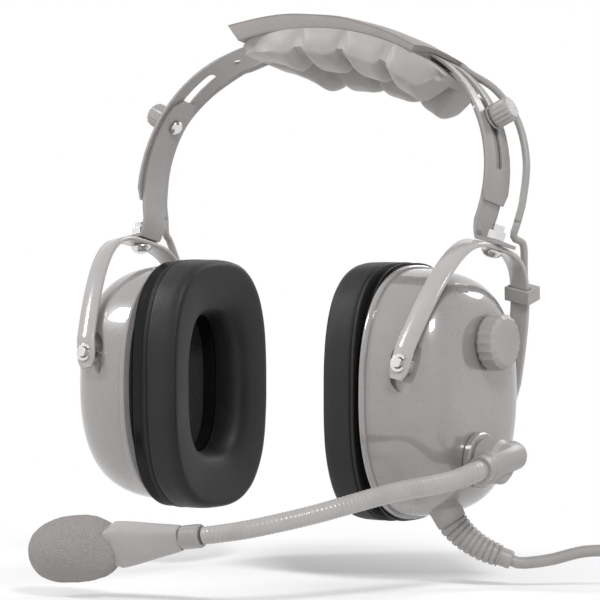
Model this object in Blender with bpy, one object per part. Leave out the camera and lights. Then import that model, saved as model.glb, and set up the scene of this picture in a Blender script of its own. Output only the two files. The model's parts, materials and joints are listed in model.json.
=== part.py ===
"""Aviation headset: band, sliding arms, stirrups, ear cups, microphone boom and coiled cord.

Metres, +Z up, X from ear to ear (+X is the wearer's left), the wearer faces -Y.
The origin lies midway between the two ear seals, where the head is.
"""
import math

import bmesh
import bpy
import numpy as np
from mathutils import Matrix, Vector

MM = 0.001

# Clearances
FIT = 0.3 * MM           # between pieces that touch
RUN = 0.35 * MM          # round a shank, all round

# Headband, measured in its own plane, which leans back by RAKE
RAKE = math.radians(12.0)
BAND_WIDTH = 18.0 * MM
BAND_THICK = 1.2 * MM
BAND_TOP = 148.8 * MM
BAND_TOP_RADIUS = 135.0 * MM
BAND_TOP_SWEEP = math.radians(23.0)
SIDE_RADIUS = 58.0 * MM
SIDE_CENTRE_X = (BAND_TOP_RADIUS - SIDE_RADIUS) * math.sin(BAND_TOP_SWEEP)
SIDE_CENTRE_Z = BAND_TOP - BAND_TOP_RADIUS + (BAND_TOP_RADIUS - SIDE_RADIUS) * math.cos(BAND_TOP_SWEEP)
SIDE_START = math.pi / 2 - BAND_TOP_SWEEP
BAND_END = math.radians(-8.0)
SLOT_WIDTH = 5.5 * MM
SLOT_HIGH = math.radians(57.0)
SLOT_LOW = math.radians(6.0)
SLOT_END = math.radians(1.2)

# Slider arm on the inside of the band
ARM_WIDTH = 14.0 * MM
ARM_THICK = 1.5 * MM
ARM_RADIUS = SIDE_RADIUS - BAND_THICK / 2 - FIT - ARM_THICK / 2
ARM_HIGH = math.radians(40.0)
SCREW_AT = math.radians(27.5)
SCREW_DIAMETER = 4.0 * MM
SCREW_HEAD = 6.3 * MM
SCREW_HEAD_HIGH = 2.0 * MM
WASHER_DIAMETER = 10.0 * MM
WASHER_THICK = 0.8 * MM
NUT_DIAMETER = 10.6 * MM
NUT_LENGTH = 9.0 * MM
NUT_RIBS = 16
NUT_FLOOR = 1.5 * MM
NUT_EDGE = 1.0 * MM
NUT_GROOVE = 0.5 * MM

# Stirrup with its swivel bolt
PIVOT_INSET = 9.0863 * MM  # from the band's widest place
PIVOT_X = SIDE_CENTRE_X + SIDE_RADIUS - PIVOT_INSET
PIVOT_Z = 3.5 * MM
STIRRUP_LEAN = math.radians(11.0)
STIRRUP_RISE = 56.0 * MM
STIRRUP_WIDTH = 9.0 * MM
STIRRUP_THICK = 2.0 * MM
STIRRUP_FOOT = 3.0 * MM
ARCH_POWER = 3.6
BOLT_DIAMETER = 5.0 * MM
BOLT_HEAD = 9.0 * MM
BOLT_HEAD_HIGH = 3.0 * MM
BOLT_NUT = 8.0 * MM
BOLT_NUT_HIGH = 3.6 * MM
BOLT_SPARE = 2.5 * MM
PIN_DIAMETER = 4.2 * MM
PIN_COLLAR = 7.0 * MM
PIN_SPARE = 1.6 * MM
PIN_INSIDE = 1.2 * MM
CLIP_DIAMETER = 7.4 * MM
CLIP_THICK = 0.7 * MM
CLIP_OPEN = math.radians(70.0)

# Ear cup, its seal and what it holds
PIVOT_DEPTH = 20.0 * MM   # from the cup's rim
CUP_GAP = PIVOT_X - PIVOT_DEPTH
CUP_Z = -1.7 * MM
CUP_HEIGHT = 100.6 * MM
CUP_WIDTH = 77.0 * MM
CUP_DEPTH = 33.5 * MM
CUP_WALL = 2.4 * MM
CUP_SQUARE = 2.35
OVAL_POINTS = 36
RIM_THICK = 2.5 * MM
RIM_PROUD = 1.3 * MM
RECESS_WIDTH = 13.0 * MM
RECESS_BELOW = 11.0 * MM
RECESS_DEPTH = 2.9 * MM
SKIRT_THICK = 5.0 * MM
SKIRT_DRAWN_IN = 3.0 * MM
SEAL_THICK = 16.0 * MM
SEAL_TALLER = 4.4 * MM    # than the cup
SEAL_NARROWER = 8.0 * MM  # than the cup
SEAL_HEIGHT = CUP_HEIGHT + SEAL_TALLER
SEAL_WIDTH = CUP_WIDTH - SEAL_NARROWER
SEAL_SQUARE = 2.8
WELL_HEIGHT = 58.0 * MM
WELL_WIDTH = 32.0 * MM
FOAM_THICK = 4.0 * MM
DRIVER_DIAMETER = 40.0 * MM
DRIVER_THICK = 8.0 * MM
KNOB_DOWN = 29.3 * MM     # from the cup's top
KNOB_AT = (5.0 * MM, CUP_HEIGHT / 2 - KNOB_DOWN)
KNOB_DIAMETER = 23.5 * MM
KNOB_HIGH = 8.6 * MM
KNOB_RIBS = 20
KNOB_GROOVE = 0.5 * MM
POT_DIAMETER = 16.0 * MM
POT_HIGH = 8.0 * MM
SHAFT_DIAMETER = 6.0 * MM
SHAFT_REACH = 7.0 * MM

# Boom and microphone
BOOM_UP = 24.0 * MM       # from the cup's foot
BOOM_AT = (-4.0 * MM, BOOM_UP - CUP_HEIGHT / 2)
BOOM_BASE = 23.0 * MM
BOOM_BASE_HIGH = 3.0 * MM
BOOM_BASE_EDGE = 0.6 * MM
BOOM_STUB = 8.0 * MM
BOOM_STUB_HIGH = 6.0 * MM
HUB_DIAMETER = 18.0 * MM
HUB_HIGH = 9.5 * MM
HUB_EDGE = 1.5 * MM
BARREL_DIAMETER = 12.0 * MM
BARREL_AHEAD = 14.0 * MM
BARREL_BEHIND = 12.0 * MM
BARREL_NECK = 5.0 * MM
BARREL_EDGE = 0.6 * MM
BOOM_STEP = 6.0 * MM
BOOM_THICK = 8.3 * MM
BOOM_THIN = 7.0 * MM
FERRULE_DIAMETER = 9.4 * MM
FERRULE_LONG = 9.0 * MM
FERRULE_EDGE = 1.0 * MM
MIC_LONG = 40.0 * MM
MIC_WIDE = 13.5 * MM
MIC_THICK = 8.0 * MM
MUFF_LONG = 41.0 * MM
MUFF_HIGH = 26.0 * MM
MUFF_DEEP = 23.0 * MM
MUFF_OVER = 12.0 * MM

# Head pad with two rows of cushions, and the sleeve over the band
PAD_FROM = -39.0 * MM
PAD_TO = 68.0 * MM
PAD_WIDTH = 45.0 * MM
PAD_BASE = 4.0 * MM
PAD_BUMP = 13.5 * MM
PAD_BUMP_MORE = 3.0 * MM   # further to the wearer's left
PAD_GROOVE = 0.14        # share of each cushion's room that its seams take
PAD_SIDE = 0.72          # share of a cushion's height at the pad's long edges
PAD_SLANT = 0.24         # share of the pad's length over which its right end slopes
PAD_SET_IN = 2.0 * MM    # from the sleeve's right end
PAD_SEAMS = (0.0, 0.324, 0.543, 0.771, 1.0)   # shares of the pad's length
PILLOW_POWER = 6.0
CUSHION_POINTS = 7
SLEEVE_TO = 55.0 * MM
SLEEVE_RISE = 4.0 * MM    # of the sleeve's edges over the band's middle surface
SLEEVE_SLOPE = 0.055      # by which they rise towards the wearer's right
SLEEVE_CROWN = 2.0 * MM
SLEEVE_WALL = 1.0 * MM
SLEEVE_SLANT = 0.5       # of its right end: run for each unit of depth

# Leads and cord
LEAD_DIAMETER = 3.1 * MM
BOOT_WIDE = 13.6 * MM
BOOT_NARROW = 9.0 * MM
BOOT_END = 7.6 * MM
BOOT_COLLAR = 5.0 * MM
BOOT_RIBS = 10
BOOT_GROOVE = 0.8 * MM
BOOT_STEP = 1.0 * MM
CORD_DIAMETER = 4.8 * MM
FLOOR = -79.0 * MM
COIL_WHOLE = 6
TURN_POINTS = 24
COIL_OUTER = 35.5 * MM
COIL_STEP = 5.3 * MM
TIE_WIDTH = 8.0 * MM
TIE_THICK = 0.8 * MM
TAIL_DIAMETER = 3.4 * MM
SPLIT_LONG = 24.0 * MM
SPLIT_WIDE = 13.0 * MM
SPLIT_HIGH = 8.0 * MM
GRIP_DIAMETER = 12.0 * MM
GRIP_LONG = 34.0 * MM
GRIP_NECK = 1.2 * MM
PHONE_PLUG = 6.35 * MM
PHONE_LONG = 30.0 * MM
MIC_PLUG = 5.2 * MM
MIC_PLUG_LONG = 29.0 * MM

ROUTE_SAMPLES = 24

WORLD = {}
MATERIALS = {}


def material(name, colour, roughness, metallic=0.0):
    """A Principled material, made once for each name."""
    if name not in MATERIALS:
        made = bpy.data.materials.new(name)
        made.use_nodes = True
        shader = made.node_tree.nodes["Principled BSDF"]
        shader.inputs["Base Color"].default_value = (*colour, 1.0)
        shader.inputs["Roughness"].default_value = roughness
        shader.inputs["Metallic"].default_value = metallic
        MATERIALS[name] = made
    return MATERIALS[name]


def greige_gloss():
    return material("greige_gloss", (0.34, 0.32, 0.31), 0.22)


def greige_satin():
    return material("greige_satin", (0.33, 0.31, 0.30), 0.45)


def dark_leather():
    return material("dark_leather", (0.022, 0.021, 0.020), 0.50)


def pad_leather():
    return material("pad_leather", (0.33, 0.31, 0.30), 0.50)


def bright_steel():
    return material("bright_steel", (0.72, 0.71, 0.70), 0.20, 1.0)


def grey_foam():
    return material("grey_foam", (0.33, 0.32, 0.31), 0.95)


def dark_foam():
    return material("dark_foam", (0.050, 0.048, 0.046), 0.95)


def grey_rubber():
    return material("grey_rubber", (0.37, 0.36, 0.35), 0.55)


def plug_metal():
    return material("plug_metal", (0.78, 0.76, 0.70), 0.20, 1.0)


def frame(name, world, parent=None):
    """An empty on a joint's axis, placed by its world matrix."""
    empty = bpy.data.objects.new(name, None)
    empty.empty_display_size = 0.01
    bpy.context.scene.collection.objects.link(empty)
    WORLD[name] = world
    hang(empty, world, parent)
    return name


def hang(item, world, parent):
    """Parent an object to a frame, and place it by its world matrix."""
    if parent:
        item.parent = bpy.data.objects[parent]
        item.matrix_parent_inverse = WORLD[parent].inverted()
    item.matrix_basis = world


def finish(name, bm, finish_material, parent, world=None, sharp=35.0):
    """Turn a closed bmesh into a named object under a frame."""
    bmesh.ops.recalc_face_normals(bm, faces=bm.faces)
    mesh = bpy.data.meshes.new(name)
    bm.to_mesh(mesh)
    bm.free()
    mesh.shade_smooth()
    mesh.set_sharp_from_angle(angle=math.radians(sharp))
    mesh.materials.append(finish_material)
    item = bpy.data.objects.new(name, mesh)
    bpy.context.scene.collection.objects.link(item)
    hang(item, WORLD[parent] if world is None else world, parent)
    return item


def trim(item, bm, world, operation="DIFFERENCE"):
    """Cut an object with, or join it to, a hidden solid."""
    name = f"{item.name}_{operation.lower()}_{len(item.modifiers)}"
    cutter = finish(name, bm, greige_satin(), None, world)
    cutter.hide_render = True
    cutter.display_type = "WIRE"
    modifier = item.modifiers.new(name, "BOOLEAN")
    modifier.operation = operation
    modifier.solver = "EXACT"
    modifier.object = cutter


def skin(bm, rings, loop=False):
    """Quads between rings of equal count, with flat caps unless the rings form a loop."""
    rows = [[bm.verts.new(p) for p in ring] for ring in rings]
    count = len(rows[0])
    pairs = list(zip(rows, rows[1:]))
    if loop:
        pairs.append((rows[-1], rows[0]))
    for low, high in pairs:
        for i in range(count):
            j = (i + 1) % count
            bm.faces.new((low[i], low[j], high[j], high[i]))
    if not loop:
        bm.faces.new(rows[0])
        bm.faces.new(rows[-1])
    return bm


def turned(profile, segments=32, loop=False, ribs=0, rib_depth=0.0):
    """A body turned about local Z from (radius, height) points, with optional lengthwise ribs."""
    rings = []
    for radius, height in profile:
        ring = []
        for i in range(segments):
            angle = 2 * math.pi * i / segments
            groove = rib_depth if ribs and i % 2 and radius > rib_depth * 4 else 0.0
            ring.append(((radius - groove) * math.cos(angle), (radius - groove) * math.sin(angle), height))
        rings.append(ring)
    return skin(bmesh.new(), rings, loop)


def axis_frame(point, direction):
    """World matrix with local Z along a direction."""
    turn = Vector(direction).to_track_quat("Z", "Y").to_matrix().to_4x4()
    return Matrix.Translation(Vector(point)) @ turn


def smooth_route(points, step):
    """Evenly spaced points on a Catmull-Rom curve through the given ones."""
    fixed = [Vector(p) for p in points]
    ends = [2 * fixed[0] - fixed[1]] + fixed + [2 * fixed[-1] - fixed[-2]]
    dense = []
    for a, b, c, d in zip(ends, ends[1:], ends[2:], ends[3:]):
        for k in range(ROUTE_SAMPLES):
            t = k / ROUTE_SAMPLES
            dense.append(0.5 * (2 * b + (c - a) * t + (2 * a - 5 * b + 4 * c - d) * t * t
                                + (3 * b - a - 3 * c + d) * t ** 3))
    dense.append(fixed[-1])
    reach = np.concatenate([[0.0], np.cumsum([(q - p).length for p, q in zip(dense, dense[1:])])])
    count = max(2, round(reach[-1] / step))
    wanted = np.linspace(0.0, reach[-1], count + 1)
    columns = [np.interp(wanted, reach, [p[k] for p in dense]) for k in range(3)]
    return [Vector(p) for p in zip(*columns)]


def tube(name, points, diameter, finish_material, parent, resolution):
    """A round tube on a poly spline with filled caps; points are in the world frame."""
    curve = bpy.data.curves.new(name, "CURVE")
    curve.dimensions = "3D"
    curve.bevel_depth = diameter / 2
    curve.bevel_resolution = resolution
    curve.use_fill_caps = True
    spline = curve.splines.new("POLY")
    spline.points.add(len(points) - 1)
    for knot, point in zip(spline.points, points):
        knot.co = (*point, 1.0)
    curve.materials.append(finish_material)
    item = bpy.data.objects.new(name, curve)
    bpy.context.scene.collection.objects.link(item)
    hang(item, Matrix.Identity(4), parent)
    return item


def make_frames():
    """Empties on the joints' axes, from the band outward."""
    band = Matrix.Rotation(-RAKE, 4, "X")
    frame("band_frame", band)
    for side, name in ((1, "left"), (-1, "right")):
        arm = band @ Matrix.Translation((side * SIDE_CENTRE_X, 0, SIDE_CENTRE_Z))
        frame(f"{name}_arm_frame", arm, "band_frame")
        stirrup = band @ Matrix.Translation((side * PIVOT_X, 0, PIVOT_Z))
        stirrup = stirrup @ Matrix.Rotation(side * STIRRUP_LEAN, 4, "Y")
        frame(f"{name}_stirrup_frame", stirrup, f"{name}_arm_frame")
        cup = Matrix.Translation(stirrup.translation)
        frame(f"{name}_cup_frame", cup, f"{name}_stirrup_frame")


def band_path(side_low):
    """Points and outward normals of the band's middle surface, from one end to the other."""
    path = []
    for angle in np.linspace(side_low, SIDE_START, 16):
        path.append((SIDE_CENTRE_X + SIDE_RADIUS * math.cos(angle),
                     SIDE_CENTRE_Z + SIDE_RADIUS * math.sin(angle), angle))
    for lean in np.linspace(BAND_TOP_SWEEP, 0, 8)[1:]:
        path.append((BAND_TOP_RADIUS * math.sin(lean),
                     BAND_TOP - BAND_TOP_RADIUS * (1 - math.cos(lean)), math.pi / 2 - lean))
    left = [(x, z, math.cos(a), math.sin(a)) for x, z, a in path]
    right = [(-x, z, -nx, nz) for x, z, nx, nz in reversed(left[:-1])]
    return left + right


def strip(path, half_widths, thick):
    """A flat strip swept along (x, z, normal x, normal z) points, of given half widths."""
    rings = []
    for (x, z, nx, nz), half in zip(path, half_widths):
        ring = [(x + nx * w, y, z + nz * w)
                for y, w in ((-half, -thick / 2), (half, -thick / 2), (half, thick / 2), (-half, thick / 2))]
        rings.append(ring)
    return skin(bmesh.new(), rings)


def side_arc(radius, start, end, steps, side):
    """Points and normals on a side's arc, in the arm's frame."""
    return [(side * radius * math.cos(a), radius * math.sin(a), side * math.cos(a), math.sin(a))
            for a in np.linspace(start, end, steps)]


def slot_cutter(side):
    """Long round-ended cutter along the side arc."""
    path = side_arc(SIDE_RADIUS, SLOT_LOW, SLOT_HIGH, 13, side)
    half = SLOT_WIDTH / 2
    widths = [half] * len(path)
    widths[0] = widths[-1] = half * 0.55
    path.insert(1, side_arc(SIDE_RADIUS, SLOT_LOW + SLOT_END, SLOT_HIGH, 2, side)[0])
    path.insert(-1, side_arc(SIDE_RADIUS, SLOT_LOW, SLOT_HIGH - SLOT_END, 2, side)[1])
    widths[1:1] = [half]
    widths[-1:-1] = [half]
    return strip(path, widths, BAND_THICK * 4)


def rounded_ends(count, half, end_share):
    """Half widths along a strip whose first points round off."""
    widths = [half] * count
    for i, share in enumerate(end_share):
        widths[i] = half * share
    return widths


def headband():
    path = band_path(BAND_END)
    widths = rounded_ends(len(path), BAND_WIDTH / 2, (0.78,))
    widths[-1] = widths[0]
    item = finish("headband_spring", strip(path, widths, BAND_THICK), greige_satin(), "band_frame")
    for side, name in ((1, "left"), (-1, "right")):
        trim(item, slot_cutter(side), WORLD[f"{name}_arm_frame"])


def round_bar(diameter, low, high, segments=16):
    """A plain round bar along local Z."""
    return turned([(diameter / 2, low), (diameter / 2, high)], segments)


def screw_frame(side, name):
    """World frame of the thumb screw: local Z points outward through arm and band."""
    arm = WORLD[f"{name}_arm_frame"]
    outward = Vector((side * math.cos(SCREW_AT), 0, math.sin(SCREW_AT)))
    return axis_frame(arm @ (outward * SIDE_RADIUS), arm.to_3x3() @ outward)


def foot_level():
    """Height of the arm's foot, middle of its thickness, in the stirrup's frame."""
    return STIRRUP_RISE + STIRRUP_THICK / 2 + FIT + ARM_THICK / 2


def slider_arm(side, name):
    """Strip along the inside of the band whose foot turns outward over the stirrup."""
    to_arm = WORLD[f"{name}_arm_frame"].inverted() @ WORLD[f"{name}_stirrup_frame"]
    inner = to_arm @ Vector((-side * ARM_WIDTH * 0.36, 0, foot_level()))
    outer = to_arm @ Vector((side * ARM_WIDTH * 0.5, 0, foot_level()))
    up = (to_arm.to_3x3() @ Vector((0, 0, 1))).normalized()
    low = math.atan2(inner.z + ARM_WIDTH * 0.5, side * inner.x)
    path = side_arc(ARM_RADIUS, ARM_HIGH, low, 14, side)
    last = path[-1]
    for share in (0.45, 0.8):
        x = last[0] + (inner.x - last[0]) * share ** 2.2
        z = last[1] + (inner.z - last[1]) * share
        blend = Vector((last[2], 0, last[3])).lerp(up, share ** 2)
        blend.normalize()
        path.append((x, z, blend.x, blend.z))
    path.append((inner.x, inner.z, up.x, up.z))
    path.append((outer.x, outer.z, up.x, up.z))
    widths = rounded_ends(len(path), ARM_WIDTH / 2, (0.45, 0.93))
    widths[-1] = ARM_WIDTH / 2 * 0.8
    item = finish(f"{name}_slider_arm", strip(path, widths, ARM_THICK), greige_gloss(), f"{name}_arm_frame")
    hole = SCREW_DIAMETER + 2 * RUN
    trim(item, round_bar(hole, -ARM_THICK * 4, ARM_THICK * 4), screw_frame(side, name))
    bolt = BOLT_DIAMETER + 2 * RUN
    trim(item, round_bar(bolt, STIRRUP_RISE - ARM_THICK, STIRRUP_RISE + ARM_THICK * 4),
         WORLD[f"{name}_stirrup_frame"])


def thumb_screw(side, name):
    """Screw from inside, washer and ribbed thumb nut outside."""
    place = screw_frame(side, name)
    parent = f"{name}_arm_frame"
    head_top = ARM_RADIUS - SIDE_RADIUS - ARM_THICK / 2 - FIT
    washer_low = BAND_THICK / 2 + FIT
    nut_low = washer_low + WASHER_THICK + FIT
    shank_top = nut_low + NUT_LENGTH - NUT_FLOOR - FIT
    shank = SCREW_DIAMETER / 2
    head = SCREW_HEAD / 2
    profile = [(head * 0.7, head_top - SCREW_HEAD_HIGH), (head, head_top - SCREW_HEAD_HIGH * 0.55),
               (head, head_top), (shank, head_top), (shank, shank_top)]
    finish(f"{name}_adjust_screw", turned(profile, 16), bright_steel(), parent, place)
    bore = shank + RUN
    rim = WASHER_DIAMETER / 2
    ring = [(bore, washer_low), (rim, washer_low), (rim, washer_low + WASHER_THICK),
            (bore, washer_low + WASHER_THICK)]
    finish(f"{name}_adjust_washer", turned(ring, 20, loop=True), greige_satin(), parent, place)
    top = nut_low + NUT_LENGTH
    outer = NUT_DIAMETER / 2
    nut = [(outer * 0.55, nut_low), (outer * 0.86, nut_low), (outer, nut_low + NUT_EDGE),
           (outer, top - NUT_EDGE), (outer * 0.88, top), (outer * 0.6, top)]
    bm = turned(nut, 2 * NUT_RIBS, ribs=NUT_RIBS, rib_depth=NUT_GROOVE)
    item = finish(f"{name}_thumb_nut", bm, greige_satin(), parent, place)
    trim(item, round_bar(2 * bore, nut_low - NUT_FLOOR, shank_top + FIT), place)


def arch_path(half, rise):
    """A stirrup's middle line in its YZ plane: up the front, over the top and down the rear."""
    foot = -STIRRUP_FOOT - PIN_COLLAR / 2
    front = [(-half, foot), (-half, -foot)]
    for share in np.linspace(1, 0, 11).tolist()[1:]:
        reach = math.sin(share * math.pi / 2)
        front.append((-half * reach, -foot + (rise + foot) * (1 - reach ** ARCH_POWER)))
    line = front + [(-y, z) for y, z in reversed(front[:-1])]
    path = []
    for i, (y, z) in enumerate(line):
        before, after = line[max(i - 1, 0)], line[min(i + 1, len(line) - 1)]
        along = Vector((after[0] - before[0], after[1] - before[1])).normalized()
        path.append((y, z, -along.y, along.x))
    return path


def stirrup_half():
    """Distance from the cup's middle to the stirrup's middle line."""
    return CUP_WIDTH / 2 + RIM_PROUD + FIT + STIRRUP_THICK / 2


def stirrup(side, name):
    place = WORLD[f"{name}_stirrup_frame"]
    parent = f"{name}_stirrup_frame"
    rings = []
    path = arch_path(stirrup_half(), STIRRUP_RISE)
    halves = rounded_ends(len(path), STIRRUP_WIDTH / 2, (0.6,))
    halves[-1] = halves[0]
    for (y, z, ny, nz), half in zip(path, halves):
        rings.append([(x, y + ny * w, z + nz * w) for x, w in (
            (-half, -STIRRUP_THICK / 2), (half, -STIRRUP_THICK / 2),
            (half, STIRRUP_THICK / 2), (-half, STIRRUP_THICK / 2))])
    item = finish(f"{name}_stirrup", skin(bmesh.new(), rings), greige_gloss(), parent)
    trim(item, round_bar(BOLT_DIAMETER + 2 * RUN, STIRRUP_RISE - BOLT_HEAD, STIRRUP_RISE + BOLT_HEAD), place)
    pin = Matrix.Rotation(math.pi / 2, 4, "X")
    trim(item, round_bar(PIN_DIAMETER + 2 * RUN, -CUP_WIDTH, CUP_WIDTH), place @ pin)

    under = STIRRUP_RISE - STIRRUP_THICK / 2 - FIT
    nut_low = foot_level() + ARM_THICK / 2 + FIT
    shank = BOLT_DIAMETER / 2
    head = BOLT_HEAD / 2
    dome = [(head * 0.35, under - BOLT_HEAD_HIGH), (head * 0.75, under - BOLT_HEAD_HIGH * 0.75),
            (head, under - BOLT_HEAD_HIGH * 0.2), (head, under), (shank, under),
            (shank, nut_low + BOLT_NUT_HIGH + BOLT_SPARE)]
    finish(f"{name}_swivel_bolt", turned(dome, 20), bright_steel(), f"{name}_arm_frame", place)
    bore = (shank + RUN) / math.cos(math.pi / 6)
    ring = [(bore, nut_low), (BOLT_NUT / 2, nut_low), (BOLT_NUT / 2, nut_low + BOLT_NUT_HIGH),
            (bore, nut_low + BOLT_NUT_HIGH)]
    finish(f"{name}_swivel_nut", turned(ring, 6, loop=True), bright_steel(), f"{name}_arm_frame", place)


def oval(half_width, half_height, square):
    """Points (y, z) round a squared oval."""
    points = []
    for i in range(OVAL_POINTS):
        angle = 2 * math.pi * i / OVAL_POINTS
        c, s = math.cos(angle), math.sin(angle)
        power = 2 / square
        points.append((half_width * math.copysign(abs(c) ** power, c),
                       half_height * math.copysign(abs(s) ** power, s)))
    return points


def cup_ring(side, depth, half_width, half_height, square=CUP_SQUARE):
    """One oval ring at a depth outboard of the cup's rim, in the world frame."""
    return [(side * (CUP_GAP + depth), y, CUP_Z + z) for y, z in oval(half_width, half_height, square)]


# Share of the cup's depth, and share of its width and height there
DOME = ((0.0, 1.0), (0.35, 0.98), (0.6, 0.94), (0.78, 0.88), (0.9, 0.80), (0.97, 0.71), (1.0, 0.60))


def dome_rings(side, grow, low, depth):
    """Rings of the cup's dome, grown or shrunk all round."""
    rings = []
    for along, share in DOME:
        rings.append(cup_ring(side, low + (depth - low) * along,
                              (CUP_WIDTH / 2 + grow) * share, (CUP_HEIGHT / 2 + grow) * share))
    return rings


def pivot_frame(name, end):
    """World frame at the pivots' middle with local Z towards the front (-1) or rear (1) pin."""
    stirrup_world = WORLD[f"{name}_stirrup_frame"]
    return axis_frame(stirrup_world.translation, stirrup_world.to_3x3() @ Vector((0, end, 0)))


def recess_cutter(depth):
    """A channel with a round bottom, from below the pivot upward."""
    half = RECESS_WIDTH / 2
    drop = RECESS_BELOW - half
    outline = [(half * math.cos(a), -drop - half * math.sin(a)) for a in np.linspace(0, math.pi, 11)]
    outline += [(-half, CUP_HEIGHT / 4), (half, CUP_HEIGHT / 4)]
    rings = [[(x, y, z) for x, y in outline] for z in (depth, CUP_WIDTH)]
    return skin(bmesh.new(), rings)


def upright(world):
    """The same frame turned so that its local Y lies upward."""
    z = world.to_3x3() @ Vector((0, 0, 1))
    y = (Vector((0, 0, 1)) - z * z.z).normalized()
    x = y.cross(z)
    turn = Matrix((x, y, z)).transposed().to_4x4()
    return Matrix.Translation(world.translation) @ turn


def recess_floor():
    return CUP_WIDTH / 2 - RECESS_DEPTH


def face_frame(side, spot, depth):
    """World frame on the cup's outer face at (y, z) from the cup's middle, local Z outboard."""
    return axis_frame((side * (CUP_GAP + depth), spot[0], CUP_Z + spot[1]), (side, 0, 0))


def ear_cup(side, name):
    parent = f"{name}_cup_frame"
    rim = (CUP_WIDTH / 2 + RIM_PROUD, CUP_HEIGHT / 2 + RIM_PROUD)
    outer = dome_rings(side, 0.0, RIM_THICK, CUP_DEPTH)
    inner = dome_rings(side, -CUP_WALL, 0.0, CUP_DEPTH - CUP_WALL)
    rings = outer[::-1] + [cup_ring(side, RIM_THICK, *rim), cup_ring(side, 0.0, *rim)] + inner
    item = finish(f"{name}_ear_cup", skin(bmesh.new(), rings), greige_gloss(), parent, Matrix.Identity(4))
    for end in (-1, 1):
        place = pivot_frame(name, end)
        trim(item, recess_cutter(recess_floor()), upright(place))
        trim(item, round_bar(PIN_DIAMETER + 2 * RUN, recess_floor() - 4 * CUP_WALL, CUP_WIDTH / 2), place)
    hole = SHAFT_DIAMETER + 2 * RUN
    trim(item, round_bar(hole, -2 * CUP_WALL, CUP_WALL), face_frame(side, KNOB_AT, CUP_DEPTH))


def pivot_pins(side, name):
    """Front and rear pins with their spring clips outside the stirrup."""
    inner_face = stirrup_half() - STIRRUP_THICK / 2
    outer_face = stirrup_half() + STIRRUP_THICK / 2
    shank = PIN_DIAMETER / 2
    collar = PIN_COLLAR / 2
    for end, word in ((-1, "front"), (1, "rear")):
        place = pivot_frame(name, end)
        profile = [(shank, recess_floor() - CUP_WALL - PIN_INSIDE), (shank, recess_floor() + FIT),
                   (collar, recess_floor() + FIT), (collar, inner_face - FIT), (shank, inner_face - FIT),
                   (shank, outer_face + FIT + CLIP_THICK + PIN_SPARE)]
        finish(f"{name}_{word}_pin", turned(profile, 16), bright_steel(), f"{name}_cup_frame", place)
        low = outer_face + FIT
        rings = []
        for angle in np.linspace(CLIP_OPEN / 2, 2 * math.pi - CLIP_OPEN / 2, 15):
            rings.append([(r * math.cos(angle), r * math.sin(angle), z) for r, z in (
                (shank + RUN, low), (CLIP_DIAMETER / 2, low),
                (CLIP_DIAMETER / 2, low + CLIP_THICK), (shank + RUN, low + CLIP_THICK))])
        finish(f"{name}_{word}_clip", skin(bmesh.new(), rings), bright_steel(), f"{name}_cup_frame", place)


# Cushion section: share from the well outward, and share of the thickness towards the head
SEAL_SECTION = ((0.08, 0.0), (0.92, 0.0), (1.0, 0.16), (0.97, 0.4), (0.96, 0.66), (0.87, 0.9), (0.66, 1.0),
                (0.36, 1.0), (0.12, 0.93), (0.02, 0.72), (0.04, 0.45), (0.0, 0.16))


def seal(side, name):
    """Glossy skirt against the rim and the padded cushion on it."""
    parent = f"{name}_cup_frame"
    half = (SEAL_WIDTH / 2, SEAL_HEIGHT / 2)
    well = (WELL_WIDTH / 2, WELL_HEIGHT / 2)
    low, high = -FIT - SKIRT_THICK, -FIT
    drawn = SKIRT_DRAWN_IN
    loops = [(low, well), (low, (half[0] - drawn, half[1] - drawn)), (high, half), (high, well)]
    rings = [cup_ring(side, depth, *size, SEAL_SQUARE) for depth, size in loops]
    finish(f"{name}_seal_plate", skin(bmesh.new(), rings, loop=True), dark_leather(), parent,
           Matrix.Identity(4))
    rings = []
    for outward, rise in SEAL_SECTION:
        width = well[0] + (half[0] - well[0]) * outward
        height = well[1] + (half[1] - well[1]) * outward
        rings.append(cup_ring(side, low - FIT - SEAL_THICK * rise, width, height, SEAL_SQUARE))
    finish(f"{name}_seal_cushion", skin(bmesh.new(), rings, loop=True), dark_leather(), parent,
           Matrix.Identity(4), sharp=60.0)


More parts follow.
